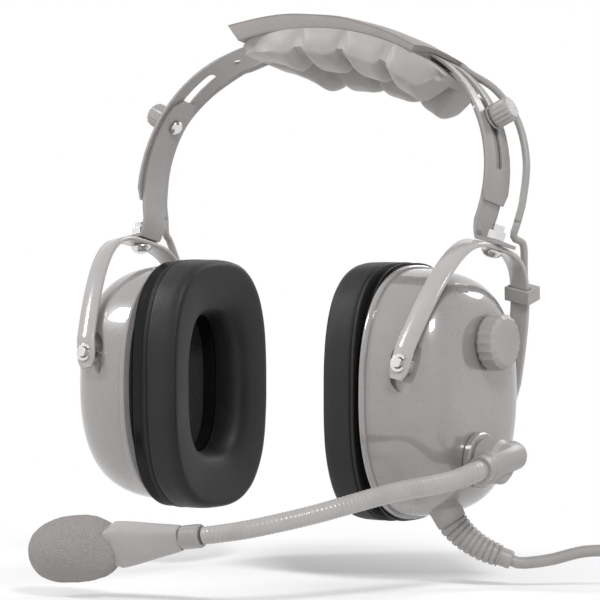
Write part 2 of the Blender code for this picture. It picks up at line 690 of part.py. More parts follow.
def cup_inside(side, name):
    """Foam behind the seal, the driver behind the foam and the volume control with its knob."""
    parent = f"{name}_cup_frame"
    narrow = DOME[1][1]
    inside = ((CUP_WIDTH / 2 - CUP_WALL) * narrow - FIT, (CUP_HEIGHT / 2 - CUP_WALL) * narrow - FIT)
    foam = [cup_ring(side, depth, *inside) for depth in (FIT, FIT + FOAM_THICK)]
    finish(f"{name}_baffle_foam", skin(bmesh.new(), foam), dark_foam(), parent, Matrix.Identity(4))
    radius = DRIVER_DIAMETER / 2
    cone = [(radius, 0.0), (radius, DRIVER_THICK * 0.35), (radius * 0.6, DRIVER_THICK * 0.5),
            (radius * 0.6, DRIVER_THICK)]
    place = face_frame(side, (0.0, 0.0), 2 * FIT + FOAM_THICK)
    finish(f"{name}_driver", turned(cone, 20), greige_satin(), parent, place)

    place = face_frame(side, KNOB_AT, CUP_DEPTH)
    top = -CUP_WALL - FIT
    shaft = SHAFT_DIAMETER / 2
    pot = [(POT_DIAMETER / 2, top - POT_HIGH), (POT_DIAMETER / 2, top), (shaft, top), (shaft, SHAFT_REACH)]
    finish(f"{name}_volume_pot", turned(pot, 20), bright_steel(), parent, place)
    outer = KNOB_DIAMETER / 2
    chamfer = KNOB_HIGH * 0.15
    knob = [(outer * 0.6, FIT), (outer * 0.94, FIT), (outer, FIT + chamfer),
            (outer * 0.96, KNOB_HIGH - chamfer), (outer * 0.82, KNOB_HIGH), (outer * 0.4, KNOB_HIGH)]
    bm = turned(knob, 2 * KNOB_RIBS, ribs=KNOB_RIBS, rib_depth=KNOB_GROOVE)
    item = finish(f"{name}_volume_knob", bm, greige_satin(), parent, place)
    trim(item, round_bar(SHAFT_DIAMETER + 2 * RUN, -KNOB_HIGH, SHAFT_REACH + FIT), place)


def pipe_rings(points, radii, sides):
    """Round rings square to a route, without twist."""
    rings = []
    tangent = (points[1] - points[0]).normalized()
    across = tangent.orthogonal().normalized()
    for i, (point, radius) in enumerate(zip(points, radii)):
        before = points[max(i - 1, 0)]
        after = points[min(i + 1, len(points) - 1)]
        tangent = (after - before).normalized()
        across = (across - tangent * across.dot(tangent)).normalized()
        other = tangent.cross(across)
        ring = []
        for k in range(sides):
            angle = 2 * math.pi * k / sides
            ring.append(point + radius * (math.cos(angle) * across + math.sin(angle) * other))
        rings.append(ring)
    return rings


BOOM_POINTS = ((99.0, -36.0, -34.0), (90.0, -64.0, -37.0), (75.0, -93.0, -43.6), (58.0, -108.5, -48.6),
               (46.0, -113.7, -50.9), (39.0, -115.0, -52.0))
BARREL_DIRECTION = Vector((0.0, -0.98, -0.16)).normalized()
MIC_DIRECTION = Vector((-1.0, -0.11, -0.14)).normalized()


def boom(side=1):
    """Base on the cup, turning hub with its barrel, gooseneck, ferrule, microphone and foam muff."""
    parent = "left_cup_frame"
    place = face_frame(side, BOOM_AT, CUP_DEPTH)
    top = FIT + BOOM_BASE_HIGH
    base = BOOM_BASE / 2
    stub = BOOM_STUB / 2
    disc = [(base, FIT), (base, top - BOOM_BASE_EDGE), (base - BOOM_BASE_EDGE, top), (stub, top),
            (stub, top + BOOM_STUB_HIGH)]
    finish("boom_base", turned(disc, 22), greige_gloss(), parent, place)

    hub_world = frame("boom_frame", place, parent)
    low = top + FIT
    hub = HUB_DIAMETER / 2
    profile = [(hub, low), (hub, low + HUB_HIGH - HUB_EDGE), (hub - HUB_EDGE, low + HUB_HIGH)]
    item = finish("boom_hub", turned(profile, 22), greige_satin(), hub_world, place)
    centre = place @ Vector((0, 0, low + BARREL_DIAMETER / 2 + FIT))
    radius = BARREL_DIAMETER / 2
    barrel = [(radius * 0.35, -BARREL_BEHIND - radius * 0.75), (radius * 0.8, -BARREL_BEHIND - radius * 0.4),
              (radius, -BARREL_BEHIND), (radius, BARREL_AHEAD - BARREL_NECK),
              (radius * 0.9, BARREL_AHEAD - BARREL_NECK + BARREL_EDGE), (radius * 0.9, BARREL_AHEAD)]
    trim(item, turned(barrel, 18), axis_frame(centre, BARREL_DIRECTION), "UNION")
    trim(item, round_bar(BOOM_STUB + 2 * RUN, top - HUB_EDGE, top + BOOM_STUB_HIGH + FIT), place)

    start = centre + BARREL_DIRECTION * (BARREL_AHEAD + FIT)
    route = [start, start + BARREL_DIRECTION * BOOM_STEP] + [Vector(p) * MM for p in BOOM_POINTS]
    points = smooth_route(route, BOOM_STEP)
    radii = np.linspace(BOOM_THICK / 2, BOOM_THIN / 2, len(points)).tolist()
    finish("boom_tube", skin(bmesh.new(), pipe_rings(points, radii, 12)), greige_satin(), hub_world,
           Matrix.Identity(4))

    place = axis_frame(points[-1], MIC_DIRECTION)
    radius = FERRULE_DIAMETER / 2
    lift = 3 * FIT
    ferrule = [(radius * 0.9, lift), (radius, lift + FERRULE_EDGE),
               (radius, lift + FERRULE_LONG - FERRULE_EDGE), (radius * 0.9, lift + FERRULE_LONG)]
    finish("boom_ferrule", turned(ferrule, 20), greige_gloss(), hub_world, place)
    place = upright(place)
    low = lift + FERRULE_LONG + FIT
    rings = mic_rings(low, 0.0)
    finish("mic_housing", skin(bmesh.new(), rings), greige_satin(), hub_world, place)
    rings = []
    muff_low = low + MIC_LONG - MUFF_OVER
    for share in np.linspace(-1, 1, 11):
        along = math.sin(share * math.pi / 2)
        size = max(0.25, (1 - abs(along) ** 2.6) ** (1 / 2.2))
        z = muff_low + MUFF_LONG * (along + 1) / 2
        rings.append([(MUFF_DEEP / 2 * size * math.cos(a), MUFF_HIGH / 2 * size * math.sin(a), z)
                      for a in np.linspace(0, 2 * math.pi, 18, endpoint=False)])
    item = finish("mic_muff", skin(bmesh.new(), rings), grey_foam(), hub_world, place)
    trim(item, skin(bmesh.new(), mic_rings(low, FIT)), place)


def mic_rings(low, grow):
    """Rounded sections of the microphone's flat housing, widening towards the muff."""
    rings = []
    for share, wide in ((0.0, 0.62), (0.25, 0.7), (0.6, 0.95), (0.8, 1.0), (1.0, 0.92)):
        across = MIC_WIDE / 2 * wide + grow
        deep = MIC_THICK / 2 + grow
        z = low + MIC_LONG * share
        z += grow if share == 1.0 else -grow if share == 0.0 else 0.0
        rings.append([(deep * math.cos(a), across * math.sin(a), z)
                      for a in np.linspace(0, 2 * math.pi, 16, endpoint=False)])
    return rings


def band_at(side, angle):
    """Point and outward normal of the band's middle surface at an angle from the side's horizontal."""
    if angle > SIDE_START:
        x = BAND_TOP_RADIUS * math.cos(angle)
        z = BAND_TOP - BAND_TOP_RADIUS * (1 - math.sin(angle))
    else:
        x = SIDE_CENTRE_X + SIDE_RADIUS * math.cos(angle)
        z = SIDE_CENTRE_Z + SIDE_RADIUS * math.sin(angle)
    return side * x, z, side * math.cos(angle), math.sin(angle)


def band_angle(x):
    """Angle at which the band passes a distance from its middle."""
    if abs(x) < BAND_TOP_RADIUS * math.sin(BAND_TOP_SWEEP):
        return math.acos(abs(x) / BAND_TOP_RADIUS)
    return math.acos((abs(x) - SIDE_CENTRE_X) / SIDE_RADIUS)


def offset(point, y, out):
    """A place beside the band: across it by y, off its middle surface by out."""
    x, z, nx, nz = point
    return Vector((x + nx * out, y, z + nz * out))


def sleeve_start(out):
    """Where the slanted right end of the sleeve is, at a distance off the band."""
    return PAD_FROM + SLEEVE_SLANT * max(0.0, SLEEVE_RISE - SLEEVE_SLOPE * PAD_FROM - out)


def sleeve_spot(share, y, out):
    """A place on the sleeve, at a share of its length."""
    start = sleeve_start(out)
    x = start + (SLEEVE_TO - start) * share
    return offset(band_at(math.copysign(1, x), band_angle(x)), y, out)


def pad_sleeve():
    """Cover over the band, crowned on top and open at both ends."""
    half = PAD_WIDTH / 2
    gap = BAND_THICK / 2 + FIT
    hole = BAND_WIDTH / 2 + FIT
    low = -gap - SLEEVE_WALL
    inner = ((-hole, -gap), (hole, -gap), (hole, gap), (hole * 0.6, gap), (0, gap), (-hole * 0.6, gap),
             (-hole, gap))
    shares = np.linspace(0, 1, 17).tolist()
    rings = []
    for share in shares:
        edge = SLEEVE_RISE - SLEEVE_SLOPE * (PAD_FROM + (SLEEVE_TO - PAD_FROM) * share)
        outer = ((-half, low), (half, low), (half, edge), (half * 0.6, edge + SLEEVE_CROWN * 0.7),
                 (0, edge + SLEEVE_CROWN), (-half * 0.6, edge + SLEEVE_CROWN * 0.7), (-half, edge))
        rings.append([sleeve_spot(share, y, out) for y, out in outer])
    rings += [[sleeve_spot(share, y, out) for y, out in inner] for share in reversed(shares)]
    finish("pad_sleeve", skin(bmesh.new(), rings, loop=True), pad_leather(), "band_frame")


def pillow(place):
    """Height of a stuffed cushion: 0 in the seams beside it, 1 over most of it."""
    away = abs(2 * place - 1) / (1 - PAD_GROOVE)
    return max(0.0, 1.0 - away ** PILLOW_POWER)


def swell_along(cushion, place):
    """Height along the pad: cushions between seams, and a long slope at the wearer's right end."""
    slope = min(1.0, pad_share(cushion, place) / PAD_SLANT)
    return slope if cushion == 0 and place < 0.5 else slope * pillow(place)


def pad_share(cushion, place):
    """Share of the pad's length at a place along one of its cushions."""
    return PAD_SEAMS[cushion] + (PAD_SEAMS[cushion + 1] - PAD_SEAMS[cushion]) * place


def swell_across(share):
    """Height across the pad: tall outer faces, and a seam between the two rows."""
    inward = 1 - abs(2 * share - 1)
    rise = 1 - (1 - PAD_SIDE) * max(0.0, 1 - 2 * inward) ** 2
    return rise * max(0.0, 1 - (inward / (1 - PAD_GROOVE)) ** (2 * PILLOW_POWER))


def head_pad():
    """Padding under the band, with its cushions in two rows."""
    top = -(BAND_THICK / 2 + 2 * FIT + SLEEVE_WALL)
    rows = 14
    start = PAD_FROM + PAD_SET_IN
    stations = [(0, 0.0)] + [(cushion, k / CUSHION_POINTS) for cushion in range(len(PAD_SEAMS) - 1)
                             for k in range(1, CUSHION_POINTS + 1)]
    rings = []
    for cushion, place in stations:
        share = pad_share(cushion, place)
        x = start + (PAD_TO - start) * share
        point = band_at(math.copysign(1, x), band_angle(x))
        half = PAD_WIDTH / 2 * (1.0 - 0.3 * abs(2 * share - 1) ** 6)
        upper = [offset(point, half * y, top) for y in np.linspace(-1, 1, rows + 1)]
        lower = []
        for j in range(rows, -1, -1):
            bump = (PAD_BUMP + PAD_BUMP_MORE * share) * swell_along(cushion, place) * swell_across(j / rows)
            lower.append(offset(point, half * (2 * j / rows - 1), top - PAD_BASE - bump))
        rings.append(upper + lower)
    finish("head_pad", skin(bmesh.new(), rings), pad_leather(), "band_frame", sharp=60.0)


# Angle down the side in degrees, distance behind the band's middle and distance off it in millimetres
LEAD_STATIONS = ((62.0, 13.2, 1.4), (44.0, 13.6, 3.0), (28.0, 14.0, 5.0), (12.0, 14.6, 5.0),
                 (-3.0, 15.0, 4.0), (-12.0, 15.5, 3.5))
# Route from the band's end to the clip, in the stirrup's own frame and in millimetres
LOOP_STATIONS = ((0.0, 21.0, 61.5), (0.0, 27.0, 51.8))
LEAD_START_Y = 13.0 * MM
LEAD_START_OUT = 0.5 * MM
CABLE_CLIP_HIGH = 6.0 * MM
CLIP_POINTS_UP = 7        # from the end of the stirrup's line
CABLE_CLIP_WALL = 1.2 * MM


def crossover(side, name):
    """Earphone lead from the sleeve down the side to its clip on the stirrup's rear leg."""
    world = WORLD["band_frame"]
    begin = band_angle(SLEEVE_TO if side > 0 else sleeve_start(LEAD_START_OUT + LEAD_DIAMETER / 2))
    begin -= 2 * FIT / (SIDE_RADIUS if side > 0 else BAND_TOP_RADIUS)
    straight = begin - 2 * LEAD_DIAMETER / SIDE_RADIUS
    route = [offset(band_at(side, angle), LEAD_START_Y, LEAD_START_OUT) for angle in (begin, straight)]
    route += [offset(band_at(side, math.radians(a)), y * MM, out * MM)
              for a, y, out in LEAD_STATIONS if math.radians(a) < straight - 0.1]
    route = [world @ p for p in route]
    finish(f"{name}_crossover_lead", skin(bmesh.new(), lead_rings(route)), grey_rubber(), "band_frame",
           Matrix.Identity(4))
    place = WORLD[f"{name}_stirrup_frame"]
    leg = place @ leg_frame()
    end = (0, STIRRUP_THICK / 2 + 2 * FIT + LEAD_DIAMETER / 2, CABLE_CLIP_HIGH / 2 + 2 * FIT)
    onward = (route[-1] - route[-2]).normalized()
    loop = [route[-1] + onward * 2 * FIT, route[-1] + onward * 2 * LEAD_DIAMETER]
    loop += [place @ (Vector(p) * MM) for p in LOOP_STATIONS]
    loop.append(leg @ Vector(end))
    finish(f"{name}_crossover_loop", skin(bmesh.new(), lead_rings(loop)), grey_rubber(),
           f"{name}_arm_frame", Matrix.Identity(4))
    wide = STIRRUP_WIDTH / 2 + FIT
    deep = STIRRUP_THICK / 2 + 2 * FIT
    wall = CABLE_CLIP_WALL
    half = CABLE_CLIP_HIGH / 2
    inner = ((-wide, -deep), (wide, -deep), (wide, deep), (-wide, deep))
    back = deep + LEAD_DIAMETER + wall
    outer = ((-wide - wall, -deep - wall), (wide + wall, -deep - wall), (wide + wall, back),
             (-wide - wall, back))
    rings = [[(x, y, z) for x, y in points] for points, z in (
        (outer, -half), (outer, half), (inner, half), (inner, -half))]
    finish(f"{name}_cable_clip", skin(bmesh.new(), rings, loop=True), greige_satin(),
           f"{name}_stirrup_frame", leg)


def leg_frame():
    """Frame on the stirrup's rear leg: local Y off its outer face, local Z up along it."""
    y, z, ny, nz = arch_path(stirrup_half(), STIRRUP_RISE)[-CLIP_POINTS_UP]
    across = Vector((1, 0, 0))
    outward = Vector((0, ny, nz))
    turn = Matrix((across, outward, across.cross(outward))).transposed().to_4x4()
    return Matrix.Translation((0, y, z)) @ turn


def lead_rings(route):
    """Rings of a thin lead along a smooth curve through its route."""
    points = smooth_route(route, 2.5 * LEAD_DIAMETER)
    return pipe_rings(points, [LEAD_DIAMETER / 2] * len(points), 8)


# Route of the cord, in millimetres: the strain relief, then the free length to the coil
BOOT_POINTS = ((77.5, -6.0, -46.0), (82.5, -3.6, -55.5), (91.0, 0.8, -63.2), (102.0, 7.0, -68.4))
CORD_POINTS = ((108.0, 10.4, -69.2), (116.0, 15.0, -67.8), (128.0, 22.0, -64.4), (141.0, 29.3, -64.9),
               (155.5, 37.8, -70.4))
COIL_START = Vector((182.0, 53.0, 0.0)) * MM
COIL_TANGENT = Vector((0.87, 0.49, 0.0)).normalized()
COIL_INWARD = Vector((COIL_TANGENT.y, -COIL_TANGENT.x, 0.0))
COIL_ANGLE = math.atan2(-COIL_INWARD.y, -COIL_INWARD.x)
# The cord leaves the coil to the front, where it has turned on by its first angle
COIL_TURNS = COIL_WHOLE + COIL_ANGLE / (2 * math.pi)
COIL_AHEAD = Vector((0.0, -1.0, 0.0))
COIL_ASIDE = Vector((1.0, 0.0, 0.0))
TAIL_STRAIGHT = 4.0
# How far the cord has run past the coil, and the share of the climb that is left
COIL_EXIT = ((10.0, 1.0), (18.0, 0.72), (27.0, 0.33), (38.0, 0.06))
# Routes of the two tails from the splitter: ahead, aside and height over the floor, in millimetres
PHONE_TAIL = ((14.0, 4.2, 2.6), (26.0, 8.5, 1.9), (34.0, 18.0, 1.9), (34.5, 29.0, 1.9), (27.0, 38.0, 1.9),
              (15.0, 41.2, 2.8), (3.0, 41.5, 5.4), (-8.0, 41.5, 6.0))
MIC_TAIL = ((16.0, -3.4, 2.6), (32.0, 0.0, 1.9), (45.0, 10.0, 1.9), (50.0, 24.5, 1.9), (46.0, 39.5, 1.9),
            (35.0, 50.5, 1.9), (20.0, 56.5, 2.8), (6.0, 58.8, 5.4), (-4.0, 59.2, 6.0))


def coil_level():
    return FLOOR + TIE_THICK + FIT + CORD_DIAMETER / 2


def coil_centre():
    return COIL_START + COIL_INWARD * COIL_OUTER


def coil_end():
    return coil_centre() + COIL_ASIDE * COIL_OUTER


def coil_points():
    """Turns that spiral in on the floor, climb a layer and spiral out again, with straight ends."""
    points = []
    for turn in np.linspace(0, COIL_TURNS, round(COIL_TURNS * TURN_POINTS) + 1).tolist():
        angle = COIL_ANGLE - 2 * math.pi * turn
        radius = COIL_OUTER - COIL_STEP * min(turn, COIL_TURNS - turn)
        climb = min(max((turn - COIL_TURNS / 2) * 2 + 0.5, 0.0), 1.0)
        climb = climb * climb * (3 - 2 * climb)
        height = coil_level() + COIL_STEP * climb
        spot = coil_centre() + radius * Vector((math.cos(angle), math.sin(angle), 0.0))
        points.append(Vector((spot.x, spot.y, height)))
    first = points[0] - COIL_TANGENT * CORD_DIAMETER
    tail = []
    for run, share in COIL_EXIT:
        spot = coil_end() + COIL_AHEAD * run * MM
        tail.append(Vector((spot.x, spot.y, split_level() + (points[-1].z - split_level()) * share)))
    last = coil_end() + COIL_AHEAD * (COIL_EXIT[-1][0] * MM + CORD_DIAMETER)
    tail.append(Vector((last.x, last.y, split_level())))
    return [first] + points + tail


def split_level():
    return FLOOR + SPLIT_HIGH / 2


def least_gap(points, diameter, apart=12):
    """Smallest distance between the skins of turns that lie beside each other."""
    spots = np.array(points)
    spread = np.linalg.norm(spots[:, None, :] - spots[None, :, :], axis=2)
    order = np.abs(np.subtract.outer(np.arange(len(spots)), np.arange(len(spots))))
    return float(spread[order >= apart].min() - diameter)


def on_floor(ahead, aside, height):
    """A place past the splitter, from its end."""
    origin = coil_end() + COIL_AHEAD * (COIL_EXIT[-1][0] * MM + CORD_DIAMETER + SPLIT_LONG + 2 * FIT)
    spot = origin + COIL_AHEAD * ahead * MM + COIL_ASIDE * aside * MM
    return Vector((spot.x, spot.y, FLOOR + height * MM))


def cord():
    """Strain relief, cord, tied coil, splitter and two tails with their plugs."""
    route = smooth_route([Vector(p) * MM for p in BOOT_POINTS], BOOT_STEP)
    plain = len(route) // 5
    collar = len(route) - 1 - round(BOOT_COLLAR / BOOT_STEP)
    ribbed = [round(i) for i in np.linspace(plain, collar, 2 * BOOT_RIBS).tolist()]
    points = [route[i] for i in [0, plain // 2] + ribbed + [collar + 1, -1]]
    radii = [BOOT_WIDE / 2] * 2
    for k, i in enumerate(ribbed):
        taper = BOOT_WIDE + (BOOT_NARROW - BOOT_WIDE) * i / collar
        radii.append(taper / 2 - (BOOT_GROOVE if k % 2 else 0.0))
    radii += [BOOT_END / 2] * 2
    item = finish("cord_boot", skin(bmesh.new(), pipe_rings(points, radii, 12)), grey_rubber(),
                  "left_cup_frame", Matrix.Identity(4))
    trim(item, skin(bmesh.new(), dome_rings(1, 2 * FIT, RIM_THICK, CUP_DEPTH + FIT)), Matrix.Identity(4))

    coil = coil_points()
    out = (points[-1] - points[-2]).normalized()
    free = [route[-1] + out * 3 * FIT, route[-1] + out * CORD_DIAMETER / 2]
    free += [Vector(p) * MM for p in CORD_POINTS] + [coil[0] - COIL_TANGENT * 2 * CORD_DIAMETER,
                                                    coil[0] - COIL_TANGENT * FIT]
    tube("cord_lead", smooth_route(free, 2.2 * CORD_DIAMETER), CORD_DIAMETER, grey_rubber(), "band_frame", 3)
    tube("cord_coil", coil, CORD_DIAMETER, grey_rubber(), "band_frame", 1)
    print("least gap between the coil's turns, mm:", round(least_gap(coil, CORD_DIAMETER) / MM, 2))

    half = TIE_WIDTH / 2
    inside = COIL_OUTER - COIL_STEP * COIL_TURNS / 2 - CORD_DIAMETER / 2 - FIT
    outside = COIL_OUTER + CORD_DIAMETER / 2 + FIT
    low = coil_level() - CORD_DIAMETER / 2 - FIT
    high = coil_level() + COIL_STEP + CORD_DIAMETER / 2 + FIT
    wall = TIE_THICK
    inner = ((inside, low), (outside, low), (outside, high), (inside, high))
    outer = ((inside - wall, low - wall), (outside + wall, low - wall), (outside + wall, high + wall),
             (inside - wall, high + wall))
    rings = [[(r, y, z) for r, z in points] for points, y in (
        (outer, -half), (outer, half), (inner, half), (inner, -half))]
    turn = Matrix.Rotation(math.atan2(COIL_INWARD.y, COIL_INWARD.x), 4, "Z")
    finish("cord_tie", skin(bmesh.new(), rings, loop=True), greige_satin(), "band_frame",
           Matrix.Translation(coil_centre()) @ turn)

    place = upright(axis_frame(coil[-1] + COIL_AHEAD * FIT, COIL_AHEAD))
    rings = []
    for share, wide in ((0.0, 0.62), (0.35, 0.78), (0.8, 1.0), (1.0, 0.92)):
        rings.append([(SPLIT_WIDE / 2 * wide * math.cos(a), SPLIT_HIGH / 2 * math.sin(a), SPLIT_LONG * share)
                      for a in np.linspace(0, 2 * math.pi, 16, endpoint=False)])
    finish("cord_splitter", skin(bmesh.new(), rings), grey_rubber(), "band_frame", place)
    plug("headphone", PHONE_TAIL, 3.0, PHONE_PLUG, PHONE_LONG)
    plug("mic", MIC_TAIL, -3.0, MIC_PLUG, MIC_PLUG_LONG)


def plug(word, tail, aside, diameter, length):
    """One tail of the cord with its jack plug lying on the floor."""
    level = SPLIT_HIGH / 2 / MM
    start = on_floor(0.0, aside, level)
    route = [start, on_floor(TAIL_STRAIGHT, aside, level)] + [on_floor(*p) for p in tail]
    points = smooth_route(route, 2.5 * TAIL_DIAMETER)
    tube(f"{word}_tail", points, TAIL_DIAMETER, grey_rubber(), "band_frame", 2)
    heading = route[-1] - route[-2]
    heading.z = 0.0
    place = axis_frame(route[-1] + heading.normalized() * 2 * FIT, heading)
    grip = GRIP_DIAMETER / 2
    thin = TAIL_DIAMETER / 2 + GRIP_NECK
    jack = diameter / 2
    top = GRIP_LONG
    profile = [(thin, 0.0), (thin * 1.25, GRIP_LONG * 0.3), (grip * 0.94, GRIP_LONG * 0.34),
               (grip, GRIP_LONG * 0.4), (grip, top), (jack, top), (jack, top + length * 0.78),
               (jack * 0.72, top + length * 0.82), (jack * 0.95, top + length * 0.88),
               (jack * 0.4, top + length)]
    finish(f"{word}_plug", turned(profile, 16), plug_metal(), "band_frame", place)


def main():
    for item in list(bpy.data.objects):
        bpy.data.objects.remove(item, do_unlink=True)
    make_frames()
    headband()
    pad_sleeve()
    head_pad()
    for side, name in ((1, "left"), (-1, "right")):
        slider_arm(side, name)
        thumb_screw(side, name)
        stirrup(side, name)
        ear_cup(side, name)
        pivot_pins(side, name)
        seal(side, name)
        cup_inside(side, name)
        crossover(side, name)
    boom()
    cord()


main()
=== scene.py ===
"""Looks of the aviation headset: finishes, soft seals and pad, leads, cord, stage, light and camera."""
import bisect
import json
import math

import bmesh
import bpy
from mathutils import Matrix, Vector, noise


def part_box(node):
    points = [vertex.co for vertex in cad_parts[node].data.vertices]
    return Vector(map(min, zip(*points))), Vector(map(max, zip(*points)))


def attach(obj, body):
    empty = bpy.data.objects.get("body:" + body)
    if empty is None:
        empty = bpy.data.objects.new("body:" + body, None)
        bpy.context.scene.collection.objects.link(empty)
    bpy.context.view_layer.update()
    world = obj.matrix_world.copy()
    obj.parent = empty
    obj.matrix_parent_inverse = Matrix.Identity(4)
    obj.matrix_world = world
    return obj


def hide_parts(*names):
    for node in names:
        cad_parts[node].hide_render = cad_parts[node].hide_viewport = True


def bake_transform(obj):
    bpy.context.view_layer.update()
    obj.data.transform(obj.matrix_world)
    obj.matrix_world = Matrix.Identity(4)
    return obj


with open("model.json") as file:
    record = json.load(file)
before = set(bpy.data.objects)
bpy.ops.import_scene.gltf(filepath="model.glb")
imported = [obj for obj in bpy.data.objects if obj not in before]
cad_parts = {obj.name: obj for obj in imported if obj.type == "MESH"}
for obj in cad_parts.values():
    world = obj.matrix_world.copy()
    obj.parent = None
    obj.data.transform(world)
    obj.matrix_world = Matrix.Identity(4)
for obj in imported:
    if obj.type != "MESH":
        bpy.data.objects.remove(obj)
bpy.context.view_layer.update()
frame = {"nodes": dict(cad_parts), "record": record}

MM = 0.001
SIDES = ((1, "left"), (-1, "right"))

# Camera: the photograph's viewing angle and scale, in metres, with the sensor in millimetres
AZIMUTH = math.radians(35.0)
ELEVATION = math.radians(1.75)
DISTANCE = 1.4
FRAME_WIDTH = 0.25
AIM_RIGHT = 2.5 * MM
AIM_UP = 34.6 * MM
SENSOR = 36.0

# Floor, which turns from shaded to plain white between two distances from its middle
FLOOR_LEVEL = -79.0 * MM
FLOOR_RADIUS = 6.0
FLOOR_SIDES = 96
FLOOR_COLOUR = (0.93, 0.93, 0.93, 1.0)
FLOOR_ROUGH = 0.9
FADE_FROM = 0.03
FADE_TO = 0.24

# Light: each lamp's name, place, size in metres and power in watts
WHITE = (1.0, 1.0, 1.0, 1.0)
WORLD_LIGHT = 0.5
LAMP_TARGET = Vector((0.0, 0.0, 0.03))
LAMPS = (("key", (-1.2, -0.75, 0.9), 0.27, 10.0),
         ("fill", (0.87, -0.70, 1.02), 0.30, 11.0),
         ("back", (0.3, 1.2, 0.9), 0.6, 6.0))

# Sizes and places. Those that the solids also have are the same there, apart from coarser steps, a plainer
# microphone, another section of the seals and deeper grooves in the boot.
# Band: a top arc and two side arcs, leaning back
RAKE = math.radians(12.0)
SIDE_RADIUS = 58.0 * MM
BAND_TOP = 148.8 * MM
BAND_TOP_RADIUS = 135.0 * MM
BAND_TOP_SWEEP = math.radians(23.0)
# Centre of the side arc, which leaves the top arc without a kink, to the micrometre
ARC_STEP = BAND_TOP_RADIUS - SIDE_RADIUS
SIDE_CENTRE = (round(ARC_STEP * math.sin(BAND_TOP_SWEEP), 6),
               round(BAND_TOP - BAND_TOP_RADIUS + ARC_STEP * math.cos(BAND_TOP_SWEEP), 6))
BAND_THICK = 1.2 * MM
BAND_WIDTH = 18.0 * MM
HOLE_AT = math.radians(68.2)
HOLE_DIAMETER = 4.0 * MM
HOLE_SIDES = 28
LEAN = Matrix.Rotation(-RAKE, 4, "X")

# Head pad, in shares of its length and height where no unit is given
PAD_FROM = -39.0 * MM
PAD_TO = 68.0 * MM
PAD_WIDTH = 45.0 * MM
PAD_BASE = 4.0 * MM
PAD_BUMP = 13.5 * MM
PAD_BUMP_MORE = 3.0 * MM
PAD_GROOVE = 0.14
PAD_SEAM = 0.56
PAD_FRONT = 0.66
PAD_REAR = 1.06
PAD_SIDE = 0.72
PAD_SLANT = 0.24
PAD_SET_IN = 2.0 * MM
PAD_SEAMS = (0.0, 0.324, 0.543, 0.771, 1.0)
PILLOW_POWER = 6.0

# Cover over the band
SLEEVE_TO = 55.0 * MM
SLEEVE_RISE = 4.0 * MM
SLEEVE_SLOPE = 0.055
SLEEVE_CROWN = 2.0 * MM
SLEEVE_SLANT = 0.5
SLEEVE_WALL = 1.0 * MM

# Ear cups and seals, whose outlines are ovals squared by a power
OVAL_POINTS = 112
CUP_GAP = 59.0 * MM
CUP_Z = -1.7 * MM
CUP_HEIGHT = 100.6 * MM
CUP_WIDTH = 77.0 * MM
CUP_DEPTH = 33.5 * MM
CUP_WALL = 2.4 * MM
CUP_SQUARE = 2.35
SEAL_SQUARE = 2.8
RIM_THICK = 2.5 * MM
RIM_PROUD = 1.3 * MM

# Pivots and stirrups
PIVOT_X = 79.0 * MM
PIVOT_Z = 3.5 * MM
STIRRUP_LEAN = math.radians(11.0)
STIRRUP_RISE = 56.0 * MM
STIRRUP_WIDTH = 9.0 * MM
STIRRUP_THICK = 2.0 * MM
STIRRUP_HALF = 41.1 * MM
ARCH_POWER = 3.6

# Boom, microphone and muff. The stations are shares of the length and of the full width
BOOM_THICK = 8.3 * MM
BOOM_THIN = 7.0 * MM
RIB_PITCH = 1.8 * MM
RIB_DEPTH = 0.16 * MM
MIC_LONG = 40.0 * MM
MIC_WIDE = 18.0 * MM
MIC_THICK = 10.0 * MM
MIC_ROLL = math.radians(-24.0)
MIC_STATIONS = ((0.0, 0.5), (0.04, 0.55), (0.3, 0.74), (0.55, 0.93), (0.7, 1.0), (0.74, 0.94), (1.0, 0.6))
MUFF_LONG = 41.0 * MM
MUFF_HIGH = 26.0 * MM
MUFF_DEEP = 23.0 * MM
MUFF_OVER = 12.0 * MM

# Strain relief, cords and leads, and the gap between parts that fit
BOOT_WIDE = 13.6 * MM
BOOT_NARROW = 9.0 * MM
BOOT_END = 7.6 * MM
BOOT_COLLAR = 5.0 * MM
BOOT_RIBS = 10
BOOT_GROOVE = 0.6 * MM
BOOT_STEP = 0.25 * MM
CORD_DIAMETER = 4.8 * MM
TAIL_DIAMETER = 3.4 * MM
LEAD_DIAMETER = 3.1 * MM
FIT = 0.3 * MM
SLEEVE_LOW = -(BAND_THICK / 2 + 2 * FIT + SLEEVE_WALL)

# Finishes: scales of their noises, spread of their gloss, heights of their grain
NOISE_LOW = 0.3
NOISE_HIGH = 0.7
MOTTLE_SCALE = 60.0
WEAR_SCALE = 240.0
GLOSS_SPREAD = (0.8, 1.25)
GRAIN_HEIGHT = 0.12 * MM
COAT_ROUGH = 0.04
LEATHER_MOTTLE = 45.0
LEATHER_GLOSS = (0.88, 1.12)
LEATHER_HEIGHT = 0.3 * MM
PORE_RATIO = 3.2
PORE_SHARE = 0.35
SHEEN_ROUGH = 0.45
# Foam: span of the cell distance from the pores, painted darker as the shade in them, to the paler walls
FOAM_PORE_SHADE = (0.1, 0.6)
FOAM_BUMP = 0.5
FOAM_HEIGHT = 0.3 * MM
FOAM_ROUGH = 0.95
FOAM_SHINE = 0.2


def new_material(name):
    """A node material with its tree's nodes, links and Principled shader."""
    made = bpy.data.materials.new(name)
    made.use_nodes = True
    tree = made.node_tree
    return made, tree.nodes, tree.links, tree.nodes["Principled BSDF"]


def put(node, values):
    """Set a node's inputs by their names."""
    for name, value in values.items():
        node.inputs[name].default_value = value


